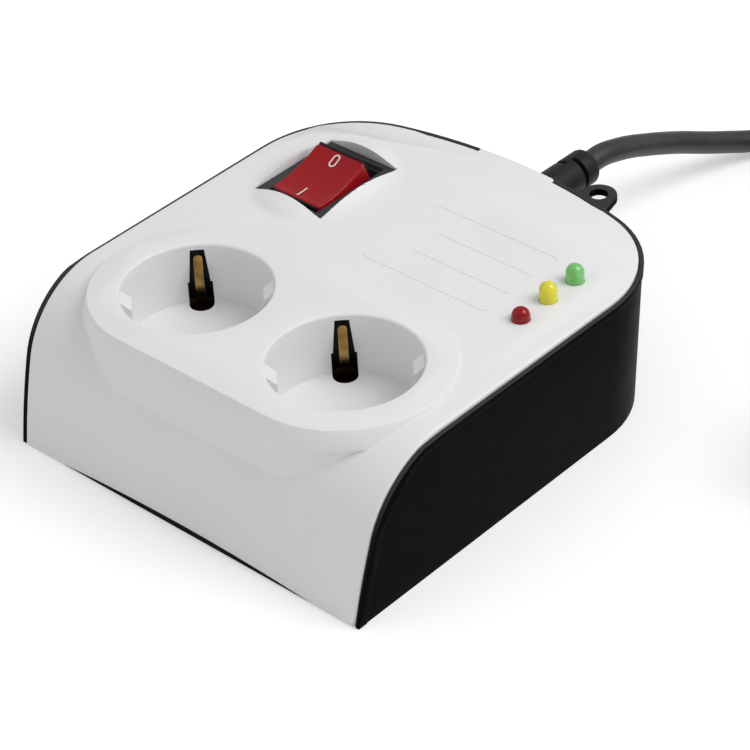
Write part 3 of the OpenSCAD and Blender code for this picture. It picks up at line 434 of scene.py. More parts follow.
@dataclass(frozen=True)
class TintedResin:
    """Clear tinted plastic or epoxy that lets part of the light through."""

    name: str
    colour: Colour
    deep: Colour
    through: float = 0.35
    roughness: float = 0.18
    ior: float = 1.5
    cloud_size: float = 0.003
    skin_size: float = 0.0008
    skin_depth: float = 0.000003
    coat: float = 0.6
    coat_roughness: float = 0.08
    gloss: float = 0.5
    cloudy: Pair = (0.35, 0.7)
    skin_swing: float = 0.08

    def material(self) -> Material:
        """Builds the material.

        Returns:
            The material.
        """
        sheet = NodeSheet(self.name)
        clouds = sheet.noise(self.cloud_size, detail=3.0, rough=0.6)
        skin = sheet.noise(self.skin_size)
        return sheet.finish(
            {
                "Base Color": sheet.blend(sheet.span(clouds, *self.cloudy), self.colour, self.deep),
                "Roughness": self.roughness + skin.swing(self.skin_swing),
                "Normal": sheet.bump(skin, self.skin_depth),
                "Transmission Weight": self.through,
                "IOR": self.ior,
                "Specular IOR Level": self.gloss,
                "Coat Weight": self.coat,
                "Coat Roughness": self.coat_roughness,
            }
        )


@dataclass(frozen=True)
class BoardLaminate:
    """Glass laminate of a circuit board: woven ground, copper paths under a green resist."""

    name: str
    resist: Colour
    path: Colour
    roughness: float = 0.35
    thread: float = 0.0004
    weave_swing: float = 0.3
    weave_rest: float = 0.25
    weave_share: float = 0.4
    paths_per_metre: float = 180.0
    path_edge: Pair = (0.12, 0.2)
    uneven: float = 0.35
    relief: float = 0.00003

    def material(self) -> Material:
        """Builds the material.

        Returns:
            The material.
        """
        sheet = NodeSheet(self.name)
        warp = sheet.noise(self.thread, stretch=(1.0, 0.2, 1.0))
        weave = warp * sheet.noise(self.thread, stretch=(0.2, 1.0, 1.0))
        flat = sheet.place((1.0, 1.0, 0.0))
        runs = sheet.add(
            "ShaderNodeTexVoronoi",
            {"feature": "DISTANCE_TO_EDGE"},
            {"Vector": flat, "Scale": self.paths_per_metre, "Randomness": self.uneven},
        )
        paths = sheet.span(Signal(sheet, runs.outputs["Distance"]), *self.path_edge, 1.0, 0.0)
        height = paths * (1 - self.weave_share) + weave * self.weave_share
        return sheet.finish(
            {
                "Base Color": sheet.blend(paths, self.resist, self.path),
                "Roughness": self.roughness + weave.swing(self.weave_swing, self.weave_rest),
                "Normal": sheet.bump(height, self.relief),
            }
        )


class Palette:
    """The finishes of this object, each made once."""

    FINISHES = {
        finish.name: finish
        for finish in (
            MouldedPlastic("white_shell", (0.84, 0.84, 0.842), 0.46, 0.4, 0.02),
            MouldedPlastic(
                "black_shell",
                (0.002, 0.002, 0.0022),
                roughness=0.5,
                cloud=0.3,
                cloud_size=0.02,
                grain_size=0.0007,
                grain_depth=0.00002,
                ior=1.08,
                # Its dust colour is a painted sheen that lightens the faces that look up.
                dust_and_sheen=(0.046, 0.046, 0.047),
            ),
            MouldedPlastic("dark_plastic", (0.04, 0.041, 0.037), 0.5, 0.3, 0.15, 0.012, 0.0005, 0.00001),
            MouldedPlastic("black_plastic", (0.006, 0.006, 0.006), 0.5, 0.3, 0.2, 0.01),
            MouldedPlastic("ivory_plastic", (0.62, 0.58, 0.47), 0.5, 0.4, 0.06),
            MouldedPlastic("relay_blue", (0.02, 0.05, 0.16), 0.3, 0.5, 0.1, 0.01),
            MouldedPlastic("capacitor_yellow", (0.55, 0.38, 0.04), 0.35, 0.5, 0.08, 0.008),
            MouldedPlastic("capacitor_sleeve", (0.008, 0.012, 0.05), 0.28, 0.5, 0.15, 0.008),
            MouldedPlastic("varistor_blue", (0.015, 0.08, 0.28), 0.38, 0.5, 0.15, 0.004),
            MouldedPlastic("wire_brown", (0.11, 0.045, 0.018), 0.4, 0.5, 0.1, 0.01),
            MouldedPlastic("wire_blue", (0.02, 0.1, 0.36), 0.4, 0.5, 0.1, 0.01),
            MouldedPlastic("wire_green_yellow", (0.42, 0.45, 0.02), 0.4, 0.5, 0.1, 0.01),
            MouldedPlastic("legend_ink", (0.8, 0.66, 0.64), 0.6, 0.3, 0.08, 0.001),
            SoftJacket("cord_rubber", (0.02, 0.02, 0.02), (0.052, 0.052, 0.052), 0.45, 0.5),
            SoftJacket("boot_rubber", (0.008, 0.008, 0.008), (0.021, 0.021, 0.021), 0.5, 0.25),
            # The clip brass is darkened below 28.5 mm as painted shade inside the slots.
            RolledMetal(
                "clip_brass", (0.42, 0.27, 0.09), (0.14, 0.07, 0.025), 0.36, worn=0.7, painted_shade_z=0.0285
            ),
            RolledMetal("brass", (0.62, 0.42, 0.17), (0.2, 0.11, 0.04), 0.34),
            RolledMetal("steel", (0.52, 0.52, 0.5), (0.25, 0.22, 0.18), 0.36),
            RolledMetal("nickel", (0.66, 0.64, 0.6), (0.4, 0.37, 0.32), 0.2, (1.0, 0.06, 1.0)),
            TintedResin(
                "red_lens", (0.38, 0.004, 0.011), (0.35, 0.0035, 0.009), 0.1, 0.36, coat=0.05, gloss=0.25
            ),
            TintedResin("lamp_glass", (0.7, 0.62, 0.5), (0.5, 0.4, 0.3), 0.6, 0.08),
            TintedResin(
                "led_red", (0.38, 0.002, 0.003), (0.28, 0.0015, 0.002), 0.2, 0.16, coat=0.08, gloss=0.3
            ),
            TintedResin("led_yellow", (0.95, 0.88, 0.05), (0.85, 0.78, 0.035), 0.2, 0.16, coat=0.3),
            TintedResin("led_green", (0.26, 0.72, 0.22), (0.2, 0.6, 0.16), 0.2, 0.16, coat=0.3),
            BoardLaminate("board_green", (0.01, 0.09, 0.03), (0.03, 0.17, 0.06)),
        )
    }

    def __init__(self) -> None:
        """Starts with no material made."""
        self._made: dict[str, Material] = {}

    def get(self, name: str) -> Material:
        """The material of one finish.

        Args:
            name: Name of the finish.

        Returns:
            Its material, made on first use.
        """
        if name not in self._made:
            self._made[name] = self.FINISHES[name].material()
        return self._made[name]


# Mesh work


def soft_shading(mesh: Mesh, sharp_degrees: float | None) -> None:
    """Shades a mesh smooth, but not across its sharp edges.

    Args:
        mesh: The mesh to shade.
        sharp_degrees: Angle between faces above which an edge stays sharp, or None for its own creases.
    """
    mesh.shade_smooth()
    if sharp_degrees is not None:
        mesh.set_sharp_from_angle(angle=math.radians(sharp_degrees))


def sharp_edges(bm: BMesh, degrees: float = SHARP_DEGREES, least: float = 0.0) -> list[BMEdge]:
    """Outer edges between two faces that meet at more than an angle.

    Args:
        bm: The mesh to search.
        degrees: The least angle between the two faces.
        least: The least length of an edge.

    Returns:
        The edges found.
    """
    limit = math.radians(degrees)
    outer = (e for e in bm.edges if len(e.link_faces) == 2 and e.is_convex)
    return [e for e in outer if e.calc_face_angle(0.0) > limit and e.calc_length() >= least]


def crease(bm: BMesh, degrees: float) -> None:
    """Keeps the edges sharp where two faces meet at more than an angle, and the rest smooth.

    Args:
        bm: The mesh to mark.
        degrees: The angle.
    """
    limit = math.radians(degrees)
    for e in bm.edges:
        e.smooth = len(e.link_faces) == 2 and e.calc_face_angle(0.0) <= limit


def round_off(bm: BMesh, edges: Iterable[BMEdge], width: float, steps: int = 2) -> None:
    """Rounds edges with a bevel.

    Args:
        bm: The mesh that holds the edges.
        edges: The edges to round.
        width: Width of the bevel.
        steps: Number of faces across it.
    """
    chosen = list(edges)
    for e in chosen:
        e.smooth = True
    bmesh.ops.bevel(
        bm,
        geom=chosen,
        offset=width,
        offset_type="OFFSET",
        affect="EDGES",
        segments=steps,
        profile=0.5,
        material=-1,
        clamp_overlap=False,
        loop_slide=True,
    )


def eased(share: float) -> float:
    """A share kept between 0 and 1, with a soft start and end."""
    kept = min(max(share, 0.0), 1.0)
    return kept * kept * (3 - 2 * kept)


def middle(edge: BMEdge) -> Vector:
    """The middle of an edge."""
    return (edge.verts[0].co + edge.verts[1].co) / 2


def spun(profile: list[Pair], steps: int = 48) -> BMesh:
    """A surface of revolution about Z.

    Args:
        profile: Radius and height of each point of its section.
        steps: Number of faces round it.

    Returns:
        The mesh.
    """
    bm = bmesh.new()
    verts = [bm.verts.new((r, 0.0, z)) for r, z in profile]
    edges = [bm.edges.new(pair) for pair in zip(verts, verts[1:])]
    bmesh.ops.spin(
        bm, geom=verts + edges, cent=(0, 0, 0), axis=(0, 0, 1), angle=math.tau, steps=steps, use_merge=True
    )
    bmesh.ops.remove_doubles(bm, verts=bm.verts, dist=CUT_GAP)
    bmesh.ops.recalc_face_normals(bm, faces=bm.faces)
    return bm


def arc(centre: Pair, radius: float, start: float, end: float, steps: int) -> list[Pair]:
    """Points of an arc in a plane.

    Args:
        centre: Centre of the arc.
        radius: Radius of the arc.
        start: First angle, in degrees.
        end: Last angle, in degrees.
        steps: Number of stretches between the points.

    Returns:
        The points, from start to end.
    """
    turns = (math.radians(start + (end - start) * i / steps) for i in range(steps + 1))
    return [(centre[0] + radius * math.cos(a), centre[1] + radius * math.sin(a)) for a in turns]


def add_box(bm: BMesh, low: Point, high: Point) -> None:
    """Adds a box between two corners to a mesh.

    Args:
        bm: The mesh that it is added to.
        low: Its lowest corner.
        high: Its highest corner.
    """
    size = Vector(high) - Vector(low)
    centre = (Vector(high) + Vector(low)) / 2
    bmesh.ops.create_cube(bm, size=1.0, matrix=Matrix.Translation(centre) @ Matrix.Diagonal((*size, 1.0)))


def rectangle(bm: BMesh, centre: Pair, size: Pair, cells: tuple[int, int] = (1, 1)) -> None:
    """Adds a flat rectangle on the plane z = 0.

    Args:
        bm: The mesh that it is added to.
        centre: Its middle.
        size: Its lengths along X and Y.
        cells: Number of faces along X and Y.
    """
    verts = bmesh.ops.create_grid(bm, x_segments=cells[0], y_segments=cells[1], size=0.5)["verts"]
    bmesh.ops.scale(bm, vec=(*size, 1.0), verts=verts)
    bmesh.ops.translate(bm, vec=(*centre, 0.0), verts=verts)


def cut_through(bm: BMesh, place: Point, normal: Point) -> None:
    """Cuts all faces of a mesh along a plane."""
    geometry = bm.verts[:] + bm.edges[:] + bm.faces[:]
    bmesh.ops.bisect_plane(bm, geom=geometry, dist=CUT_GAP, plane_co=place, plane_no=normal)


def extruded(bm: BMesh) -> list[BMVert]:
    """Doubles all faces of a flat mesh and gives the vertices of the new ones, still to be moved."""
    raised = bmesh.ops.extrude_face_region(bm, geom=bm.faces[:])["geom"]
    return [part for part in raised if isinstance(part, BMVert)]


def add_object(name: str, data: ID) -> Object:
    """Makes an object and puts it in the scene.

    Args:
        name: Its name.
        data: What it holds, such as a mesh, a curve or a lamp.

    Returns:
        The object.
    """
    made = bpy.data.objects.new(name, data)
    bpy.context.scene.collection.objects.link(made)
    return made


class Workshop:
    """Turns meshes into dressed pieces that ride on a body."""

    def __init__(self, palette: Palette) -> None:
        """Keeps the finishes.

        Args:
            palette: The finishes of the object.
        """
        self.palette = palette
        self.nodes: dict[str, Object] = frame["nodes"]

    def piece(
        self,
        name: str,
        bm: BMesh,
        finish: str,
        body: Body = Body.HOUSING,
        replaces: Iterable[str] = (),
        slot: str | None = None,
        sharp_degrees: float | None = 32.0,
    ) -> Object:
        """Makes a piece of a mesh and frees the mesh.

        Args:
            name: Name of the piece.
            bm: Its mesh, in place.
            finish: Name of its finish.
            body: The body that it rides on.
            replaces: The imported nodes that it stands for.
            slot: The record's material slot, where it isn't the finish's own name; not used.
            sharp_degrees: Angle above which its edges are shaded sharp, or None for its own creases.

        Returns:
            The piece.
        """
        mesh = bpy.data.meshes.new(name)
        bm.to_mesh(mesh)
        bm.free()
        soft_shading(mesh, sharp_degrees)
        mesh.materials.append(self.palette.get(finish))
        made = add_object(name, mesh)
        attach(made, body.value)
        for node in replaces:
            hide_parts(node)
        log.info("%s: %d faces in %s", name, len(mesh.polygons), finish)
        return made

    def copy_of(self, node: str) -> BMesh:
        """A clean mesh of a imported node: joined triangles, flat faces whole.

        Args:
            node: Name of the node.

        Returns:
            The mesh.
        """
        bm = bmesh.new()
        bm.from_mesh(self.nodes[node].data)
        bmesh.ops.remove_doubles(bm, verts=bm.verts, dist=MERGE_GAP)
        bmesh.ops.dissolve_degenerate(bm, edges=bm.edges, dist=SLIVER)
        flat = math.radians(FLAT_DEGREES)
        bmesh.ops.dissolve_limit(bm, angle_limit=flat, verts=bm.verts, edges=bm.edges)
        for face in bm.faces:
            face.material_index = 0
        return bm

    def softened(
        self,
        node: str,
        finish: str,
        width: float,
        body: Body = Body.HOUSING,
        degrees: float = SHARP_DEGREES,
        least: float = 0.0,
        slot: str | None = None,
    ) -> Object:
        """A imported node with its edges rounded, in its finish.

        Args:
            node: Name of the node.
            finish: Name of the finish.
            width: Width of the rounding.
            body: The body that it rides on.
            degrees: Angle above which an edge is rounded.
            least: Shortest edge that is rounded.
            slot: The record's material slot, where it isn't the finish's own name.

        Returns:
            The piece that stands for the node.
        """
        bm = self.copy_of(node)
        if width:
            round_off(bm, sharp_edges(bm, degrees, least), width)
        return self.piece(f"{node}_dressed", bm, finish, body, [node], slot)

    def soften_all(self, rows: Iterable[tuple[str, str, float]]) -> None:
        """Dresses nodes of the housing: the name, the finish and the width of the rounding of each."""
        for node, finish, width in rows:
            self.softened(node, finish, width)


# Camera and studio


@dataclass
class PhotoView:
    """The camera at the photograph's place."""

    position: Point = (0.445474, -0.454419, 0.474352)
    right: Point = (0.74047, 0.67011, -0.05149)
    up: Point = (-0.36643, 0.46675, 0.80490)
    back: Point = (0.56341, -0.57714, 0.59117)
    lens_mm: float = 144.6
    sensor_mm: float = 36.0

    def build(self) -> None:
        """Makes the camera and gives it to the scene."""
        data = bpy.data.cameras.new("photo_view")
        data.lens = self.lens_mm
        data.sensor_width = self.sensor_mm
        data.sensor_fit = "HORIZONTAL"
        data.clip_start, data.clip_end = 0.01, 20.0
        camera = add_object("photo_view", data)
        turn = Matrix((self.right, self.up, self.back)).transposed()
        camera.matrix_world = Matrix.Translation(self.position) @ turn.to_4x4()
        bpy.context.scene.camera = camera


@dataclass
class Studio:
    """A plain pale floor under soft light."""

    floor_half: float = 3.0
    sky: float = 0.5
    backdrop: float = 1.0
    key_watts: float = 11.0
    key_size: float = 0.9
    key_at: Point = (0.72, 0.5, 1.13)
    fill_watts: float = 1.7
    fill_size: float = 1.2
    fill_at: Point = (-0.7, -1.1, 0.8)
    paper: float = 0.86
    glow: float = 0.3

    def build(self) -> None:
        """Makes the floor, the world and the lamps."""
        self._floor()
        self._world()
        self._lamp("key_light", self.key_at, self.key_size, self.key_watts)
        self._lamp("fill_light", self.fill_at, self.fill_size, self.fill_watts)
        bpy.context.scene.view_settings.view_transform = "Standard"

    def _seen(self, sheet: NodeSheet) -> Signal:
        """1 for rays from the camera, from mirrors and through glass, and 0 for the rest.

        Args:
            sheet: The sheet that the signal is for.

        Returns:
            The signal.
        """
        rays = sheet.add("ShaderNodeLightPath")
        total = Signal(sheet, rays.outputs["Is Camera Ray"]) + Signal(sheet, rays.outputs["Is Glossy Ray"])
        total = total + Signal(sheet, rays.outputs["Is Transmission Ray"])
        return sheet.span(total, 0.0, 1.0)

    def _floor(self) -> None:
        """Makes the floor, which keeps the shadow and shows white."""
        bm = bmesh.new()
        bmesh.ops.create_grid(bm, x_segments=1, y_segments=1, size=self.floor_half)
        mesh = bpy.data.meshes.new("floor")
        bm.to_mesh(mesh)
        bm.free()
        sheet = NodeSheet("floor_paper")
        paper = sheet.add("ShaderNodeBsdfDiffuse", {}, {"Color": (self.paper, self.paper, self.paper, 1.0)})
        seen = self._seen(sheet) * self.glow
        glow = sheet.add("ShaderNodeEmission", {}, {"Color": (1.0, 1.0, 1.0, 1.0), "Strength": seen})
        both = sheet.add("ShaderNodeAddShader", {}, {0: paper.outputs[0], 1: glow.outputs[0]})
        sheet.add("ShaderNodeOutputMaterial", {}, {"Surface": both.outputs[0]})
        mesh.materials.append(sheet.material)
        floor = add_object("floor", mesh)

    def _world(self) -> None:
        """Makes the even light all round, and the white that the camera sees."""
        world = bpy.data.worlds.new("studio_air")
        bpy.context.scene.world = world
        world.use_nodes = True
        tree = world.node_tree
        tree.nodes.clear()
        rays = tree.nodes.new("ShaderNodeLightPath")
        mix = tree.nodes.new("ShaderNodeMix")
        mix.data_type = "FLOAT"
        mix.inputs[2].default_value = self.sky
        mix.inputs[3].default_value = self.backdrop
        tree.links.new(rays.outputs["Is Camera Ray"], mix.inputs[0])
        air = tree.nodes.new("ShaderNodeBackground")
        air.inputs["Color"].default_value = (1.0, 1.0, 1.0, 1.0)
        tree.links.new(mix.outputs[0], air.inputs["Strength"])
        end = tree.nodes.new("ShaderNodeOutputWorld")
        tree.links.new(air.outputs[0], end.inputs["Surface"])

    def _lamp(self, name: str, place: Point, size: float, watts: float) -> None:
        """Adds one soft lamp that looks at the object.

        Args:
            name: Name of the lamp.
            place: Where it hangs.
            size: Width of its square face.
            watts: Its power.
        """
        data = bpy.data.lights.new(name, "AREA")
        data.shape = "SQUARE"
        data.size = size
        data.energy = watts
        lamp = add_object(name, data)
        lamp.location = place
        lamp.rotation_euler = (-Vector(place)).to_track_quat("-Z", "Y").to_euler()


# Cord, strain relief and plug


@dataclass
class MainsCord:
    """The free cord from the strain relief to the plug, its tie and its strain relief."""

    shop: Workshop
    diameter: float = 0.0066
    length: float = 1.425
    exit: Point = (0.0, 0.0905, 0.0274)
    run: tuple[Point, ...] = (
        (0.0, 90.5, 27.4),
        (0.0, 97.0, 27.4),
        (0.2, 103.0, 26.1),
        (0.4, 109.0, 24.3),
        (0.7, 115.0, 22.0),
        (1.1, 122.0, 19.2),
        (2.0, 131.0, 15.4),
        (3.4, 140.0, 11.4),
        (5.2, 149.0, 7.8),
        (7.8, 157.0, 5.2),
        (11.3, 165.0, 4.2),
        (16.3, 171.8, 4.0),
        (22.2, 177.8, 4.0),
        (28.0, 183.6, 4.0),
        (33.5, 189.0, 4.0),
    )
    coil_centre: Pair = (77.0, 166.0)
    outer_r: float = 47.0
    pitch: float = 7.3
    climb: float = 7.1
    in_turns: float = 2.5
    climb_turns: float = 0.5
    out_turns: float = 2.375
    start: float = 135.0
    low: float = 4.0
    rings: int = 24
    plug_end_y: float = 108.0
    plug_z: float = 20.0
    plug_lead: float = 7.0
    rise: tuple[Pair, ...] = ((-7.0, 0.0), (-16.0, 1.2), (-26.0, 4.0), (-36.0, 7.2))

    def _radius(self, t: float) -> float:
        """Radius of the coil after t turns.

        Args:
            t: Number of turns.

        Returns:
            The radius, in millimetres.
        """
        inner = self.outer_r - self.pitch * self.in_turns
        if t < self.in_turns:
            return self.outer_r - self.pitch * t
        past = t - self.in_turns
        if past < self.climb_turns:
            swing = self.pitch * self.climb_turns / math.pi
            return inner - swing * math.sin(math.pi * past / self.climb_turns)
        return inner + self.pitch * (past - self.climb_turns)

    def _height(self, t: float) -> float:
        """Height of the coil's middle line after t turns."""
        past = min(max(t - self.in_turns, 0.0), self.climb_turns)
        return self.low + self.climb * (1 - math.cos(math.pi * past / self.climb_turns)) / 2

    def _on_coil(self, t: float) -> Vector:
        """Point of the coil after t turns.

        Args:
            t: Number of turns.

        Returns:
            The point, in millimetres.
        """
        a = math.radians(self.start - 360 * t)
        x, y = self.coil_centre
        r = self._radius(t)
        return Vector((x + r * math.cos(a), y + r * math.sin(a), self._height(t)))

    def _ahead(self, t: float) -> Vector:
        """Direction of the coil after t turns."""
        a = math.radians(self.start - 360 * t)
        return Vector((math.sin(a), -math.cos(a), 0.0))

    def route(self) -> list[Vector]:
        """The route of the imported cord, from the strain relief to the plug.

        Returns:
            Its points.
        """
        turns = self.in_turns + self.climb_turns + self.out_turns
        count = math.ceil(turns * self.rings)
        step = self.diameter / MM
        entry = self._on_coil(0.0) - step * self._ahead(0.0)
        leave = self._on_coil(turns) + step * self._ahead(turns)
        coil = [entry, *(self._on_coil(turns * i / count) for i in range(count + 1)), leave]
        end = [leave + Vector((0.0, dy, dz)) for dy, dz in self.rise]
        end += [Vector((leave.x, self.plug_end_y + lead, self.plug_z)) for lead in (self.plug_lead, 0.0)]
        return [p * MM for p in [*map(Vector, self.run), *coil, *end]]

    def build(self, on_cord: list[Object]) -> Object:
        """Args:
            on_cord: The plug's pieces and the tie; not used.

        Returns:
            The cord.
        """
        points = self.route()
        curve = bpy.data.curves.new("mains_cord", "CURVE")
        curve.dimensions = "3D"
        curve.bevel_depth = self.diameter / 2
        curve.bevel_resolution = 5
        curve.resolution_u = 4
        curve.use_fill_caps = True
        spline = curve.splines.new("BEZIER")
        spline.bezier_points.add(len(points) - 1)
        for handle, point in zip(spline.bezier_points, points):
            handle.co = point
            handle.handle_left_type = handle.handle_right_type = "AUTO"
        curve.materials.append(self.shop.palette.get("cord_rubber"))
        cord = add_object("mains_cord", curve)
        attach(cord, Body.HOUSING.value)
        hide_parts("cord_run", "cord_coil", "cord_end")
        log.info("mains_cord: %d route points", len(points))
        return cord

    def tie(self) -> Object:
        """Makes the band that holds the coil."""
        return self.shop.softened("cord_tie", "black_plastic", 0.00015)

    def strain_relief(self) -> Object:
        """Makes the slotted strain relief."""
        return self.shop.softened(
            "strain_relief", "boot_rubber", 0.00035, degrees=45.0, least=0.0002, slot="cord_rubber"
        )


@dataclass
class Plug:
    """The moulded plug at the far end of the cord."""

    shop: Workshop

    def build(self) -> list[Object]:
        """Makes the plug's pieces.

        Returns:
            The pieces.
        """
        return [
            self.shop.softened("plug_body", "cord_rubber", 0.0004, degrees=35.0, least=0.0003),
            self.shop.softened("plug_pins", "nickel", 0.0),
            self.shop.softened("plug_earth_strips", "nickel", 0.00012),
        ]


# Housing and sockets


@dataclass
class Housing:
    """Black base, white cover with the dome round the switch, and the screws."""

    shop: Workshop
    top_z: float = 0.0427
    switch: Pair = (-0.0353, 0.0241)
    opening: Pair = (0.0121, 0.0151)
    socket: Pair = (0.0255, -0.0345)
    socket_r: float = 0.026
    socket_rim_z: float = 0.0434
    side_x: float = 0.058
    rear_y: float = 0.058
    corner_at: Pair = (0.0296, 0.0301)
    corner_r: float = 0.029
    edge_r: float = 0.0008
    edge_steps: int = 4
    foot_z: float = 0.0005
    fine_r: float = 0.0002
    short_edge: float = 0.0004
    crease_degrees: float = 11.0
    rim_gap: float = 0.0003
    rim_fall: float = 0.0007
    rim_span: float = 0.0014
    rear_level: Pair = (0.02, 0.055)
    dome_r: float = 0.0232
    dome_cut_r: float = 0.0221
    dome_hole_r: float = 0.009
    dome_low: float = 0.0423
    dome_rings: int = 26
    dome_steps: int = 96
    dome_sink_mm: float = 0.002
    dome_lip_r: float = 0.00016
    bell_mm: float = 1.5
    crown_mm: float = 4.5
    crown_sag: Pair = (0.01944, 0.00889)
    blend_mm: float = 0.5
    skirt_mm: float = 4.2
    frame_low: Pair = (-0.0045, 0.0035)
    frame_high: Pair = (0.0387, 0.033)
    frame_r: float = 0.0027
    frame_steps: int = 8
    line_w: float = 0.00026
    line_h: float = 0.00012
    line_rows: Pair = (0.0133, 0.023)
    line_ends: Pair = (0.0055, 0.0375)

    def build(self) -> None:
        """Makes the base, the cover, its dome and relief, and the screws."""
        self._base()
        self._cover()
        self._dome()
        self._relief()
        self.shop.softened("housing_screws", "steel", 0.0)

    def _base(self) -> None:
        """Makes the base, with the front half of its rim a little below the cover's rounded edge."""
        bm = self.shop.copy_of("base_tub")
        high = self.top_z - self.rim_gap
        near, far = self.rear_level
        for v in bm.verts:
            fall = self.rim_fall * (1 - eased((v.co.y - near) / (far - near)))
            v.co.z -= fall * eased((v.co.z - high + self.rim_span) / self.rim_span)
        crease(bm, self.crease_degrees)
        round_off(bm, sharp_edges(bm, least=self.short_edge), self.fine_r)
        self.shop.piece("base_tub_dressed", bm, "black_shell", replaces=["base_tub"], sharp_degrees=None)

    def _on_rim(self, edge: BMEdge) -> bool:
        """Whether an edge of the cover runs round its outline.

        Args:
            edge: The edge.

        Returns:
            True for an edge of the outline.
        """
        at = middle(edge)
        x, y = abs(at.x), at.y
        if x > self.side_x or y > self.rear_y:
            return True
        across, along = x - self.corner_at[0], y - self.corner_at[1]
        return across > 0 and along > 0 and math.hypot(across, along) > self.corner_r

    def _in_socket(self, point: Vector) -> bool:
        """Whether a point lies in one of the sockets, below their rims."""
        x, y = self.socket
        return point.z < self.socket_rim_z and math.hypot(abs(point.x) - x, point.y - y) < self.socket_r

    def _from_switch(self, point: Vector) -> float:
        """Distance of a point from the middle of the switch, in plan."""
        return math.hypot(point.x - self.switch[0], point.y - self.switch[1])

    def _cover(self) -> None:
        """Makes the cover, open where the dome stands."""
        bm = self.shop.copy_of("top_cover")
        near = [f for f in bm.faces if self._from_switch(f.calc_center_median()) < self.dome_cut_r]
        parts = {*near, *(e for f in near for e in f.edges), *(v for f in near for v in f.verts)}
        level = (0, 0, self.dome_low)
        bmesh.ops.bisect_plane(bm, geom=list(parts), dist=MERGE_GAP, plane_co=level, plane_no=(0, 0, 1))
        gone = [
            f
            for f in bm.faces
            if max(self._from_switch(v.co) for v in f.verts) < self.dome_cut_r
            and f.calc_center_median().z > self.dome_low + NEAR
        ]
        bmesh.ops.delete(bm, geom=gone, context="FACES")
        crease(bm, self.crease_degrees)
        rim = [e for e in sharp_edges(bm) if self._on_rim(e) and middle(e).z > self.foot_z]
        round_off(bm, rim, self.edge_r, self.edge_steps)
        inner = [
            e
            for e in sharp_edges(bm, least=self.short_edge)
            if not self._on_rim(e) and not self._in_socket(middle(e))
        ]
        round_off(bm, inner, self.fine_r)
        self.shop.piece("top_cover_dressed", bm, "white_shell", replaces=["top_cover"], sharp_degrees=None)

    def _dome_height(self, u: float, v: float) -> float:
        """Height of the dome above the flat top, in millimetres.

        Args:
            u: Distance from the switch's middle along X, in millimetres.
            v: Distance from it along Y, in millimetres.

        Returns:
            The height.
        """
        outer = self.dome_r / MM
        bell = self.bell_mm * max(0.0, 1 - (u * u + v * v) / outer**2) ** 2
        crown = self.crown_mm - self.crown_sag[0] * u * u - self.crown_sag[1] * v * v
        crown = self.blend_mm * math.log1p(math.exp(crown / self.blend_mm))
        return (bell + crown) * eased((outer - math.hypot(u, v)) / self.skirt_mm)

    def _dome(self) -> None:
        """Makes the dome that rises round the switch, cut open for its flange."""
        width = self.dome_r - self.dome_hole_r
        radii = [self.dome_hole_r + width * i / self.dome_rings for i in range(self.dome_rings + 1)]
        bm = spun([(radius, self.dome_low) for radius in radii], self.dome_steps)
        for v in extruded(bm):
            v.co.z = self.top_z + (self._dome_height(v.co.x / MM, v.co.y / MM) - self.dome_sink_mm) * MM
        for axis, half in zip(((1, 0, 0), (0, 1, 0)), self.opening):
            for side in (-1, 1):
                cut_through(bm, Vector(axis) * half * side, axis)
        inside = [f for f in bm.faces if self._inside(f.calc_center_median())]
        bmesh.ops.delete(bm, geom=inside, context="FACES")
        rims = [e for e in bm.edges if e.is_boundary]
        bmesh.ops.bridge_loops(bm, edges=rims)
        bmesh.ops.recalc_face_normals(bm, faces=bm.faces)
        lip = [e for e in sharp_edges(bm) if middle(e).z > self.top_z]
        round_off(bm, lip, self.dome_lip_r)
        bmesh.ops.translate(bm, vec=(*self.switch, 0.0), verts=bm.verts)
        self.shop.piece(
            "switch_dome", bm, "white_shell", replaces=["top_cover"], sharp_degrees=SHARP_DEGREES
        )

    def _inside(self, point: Vector) -> bool:
        """Whether a point about the switch's middle lies in the opening."""
        return abs(point.x) < self.opening[0] and abs(point.y) < self.opening[1]

    def _relief(self) -> None:
        """Makes the raised frame and rules beside the lamps, with no words on them."""
        (low_x, low_y), (high_x, high_y) = self.frame_low, self.frame_high
        left, right = self.line_ends
        bm = bmesh.new()
        rectangle(bm, ((low_x + high_x) / 2, (low_y + high_y) / 2), (high_x - low_x, high_y - low_y))
        bmesh.ops.bevel(
            bm,
            geom=bm.verts[:],
            offset=self.frame_r,
            affect="VERTICES",
            segments=self.frame_steps,
            profile=0.5,
            material=-1,
        )
        plate = next(iter(bm.faces))
        bmesh.ops.inset_individual(bm, faces=[plate], thickness=self.line_w)
        bmesh.ops.delete(bm, geom=[plate], context="FACES")
        for row in self.line_rows:
            rectangle(bm, ((left + right) / 2, row), (right - left, self.line_w))
        bmesh.ops.translate(bm, vec=(0, 0, self.top_z - self.line_h), verts=bm.verts)
        bmesh.ops.translate(bm, vec=(0, 0, 2 * self.line_h), verts=extruded(bm))
        bmesh.ops.recalc_face_normals(bm, faces=bm.faces)
        self.shop.piece("relief_lines", bm, "white_shell")


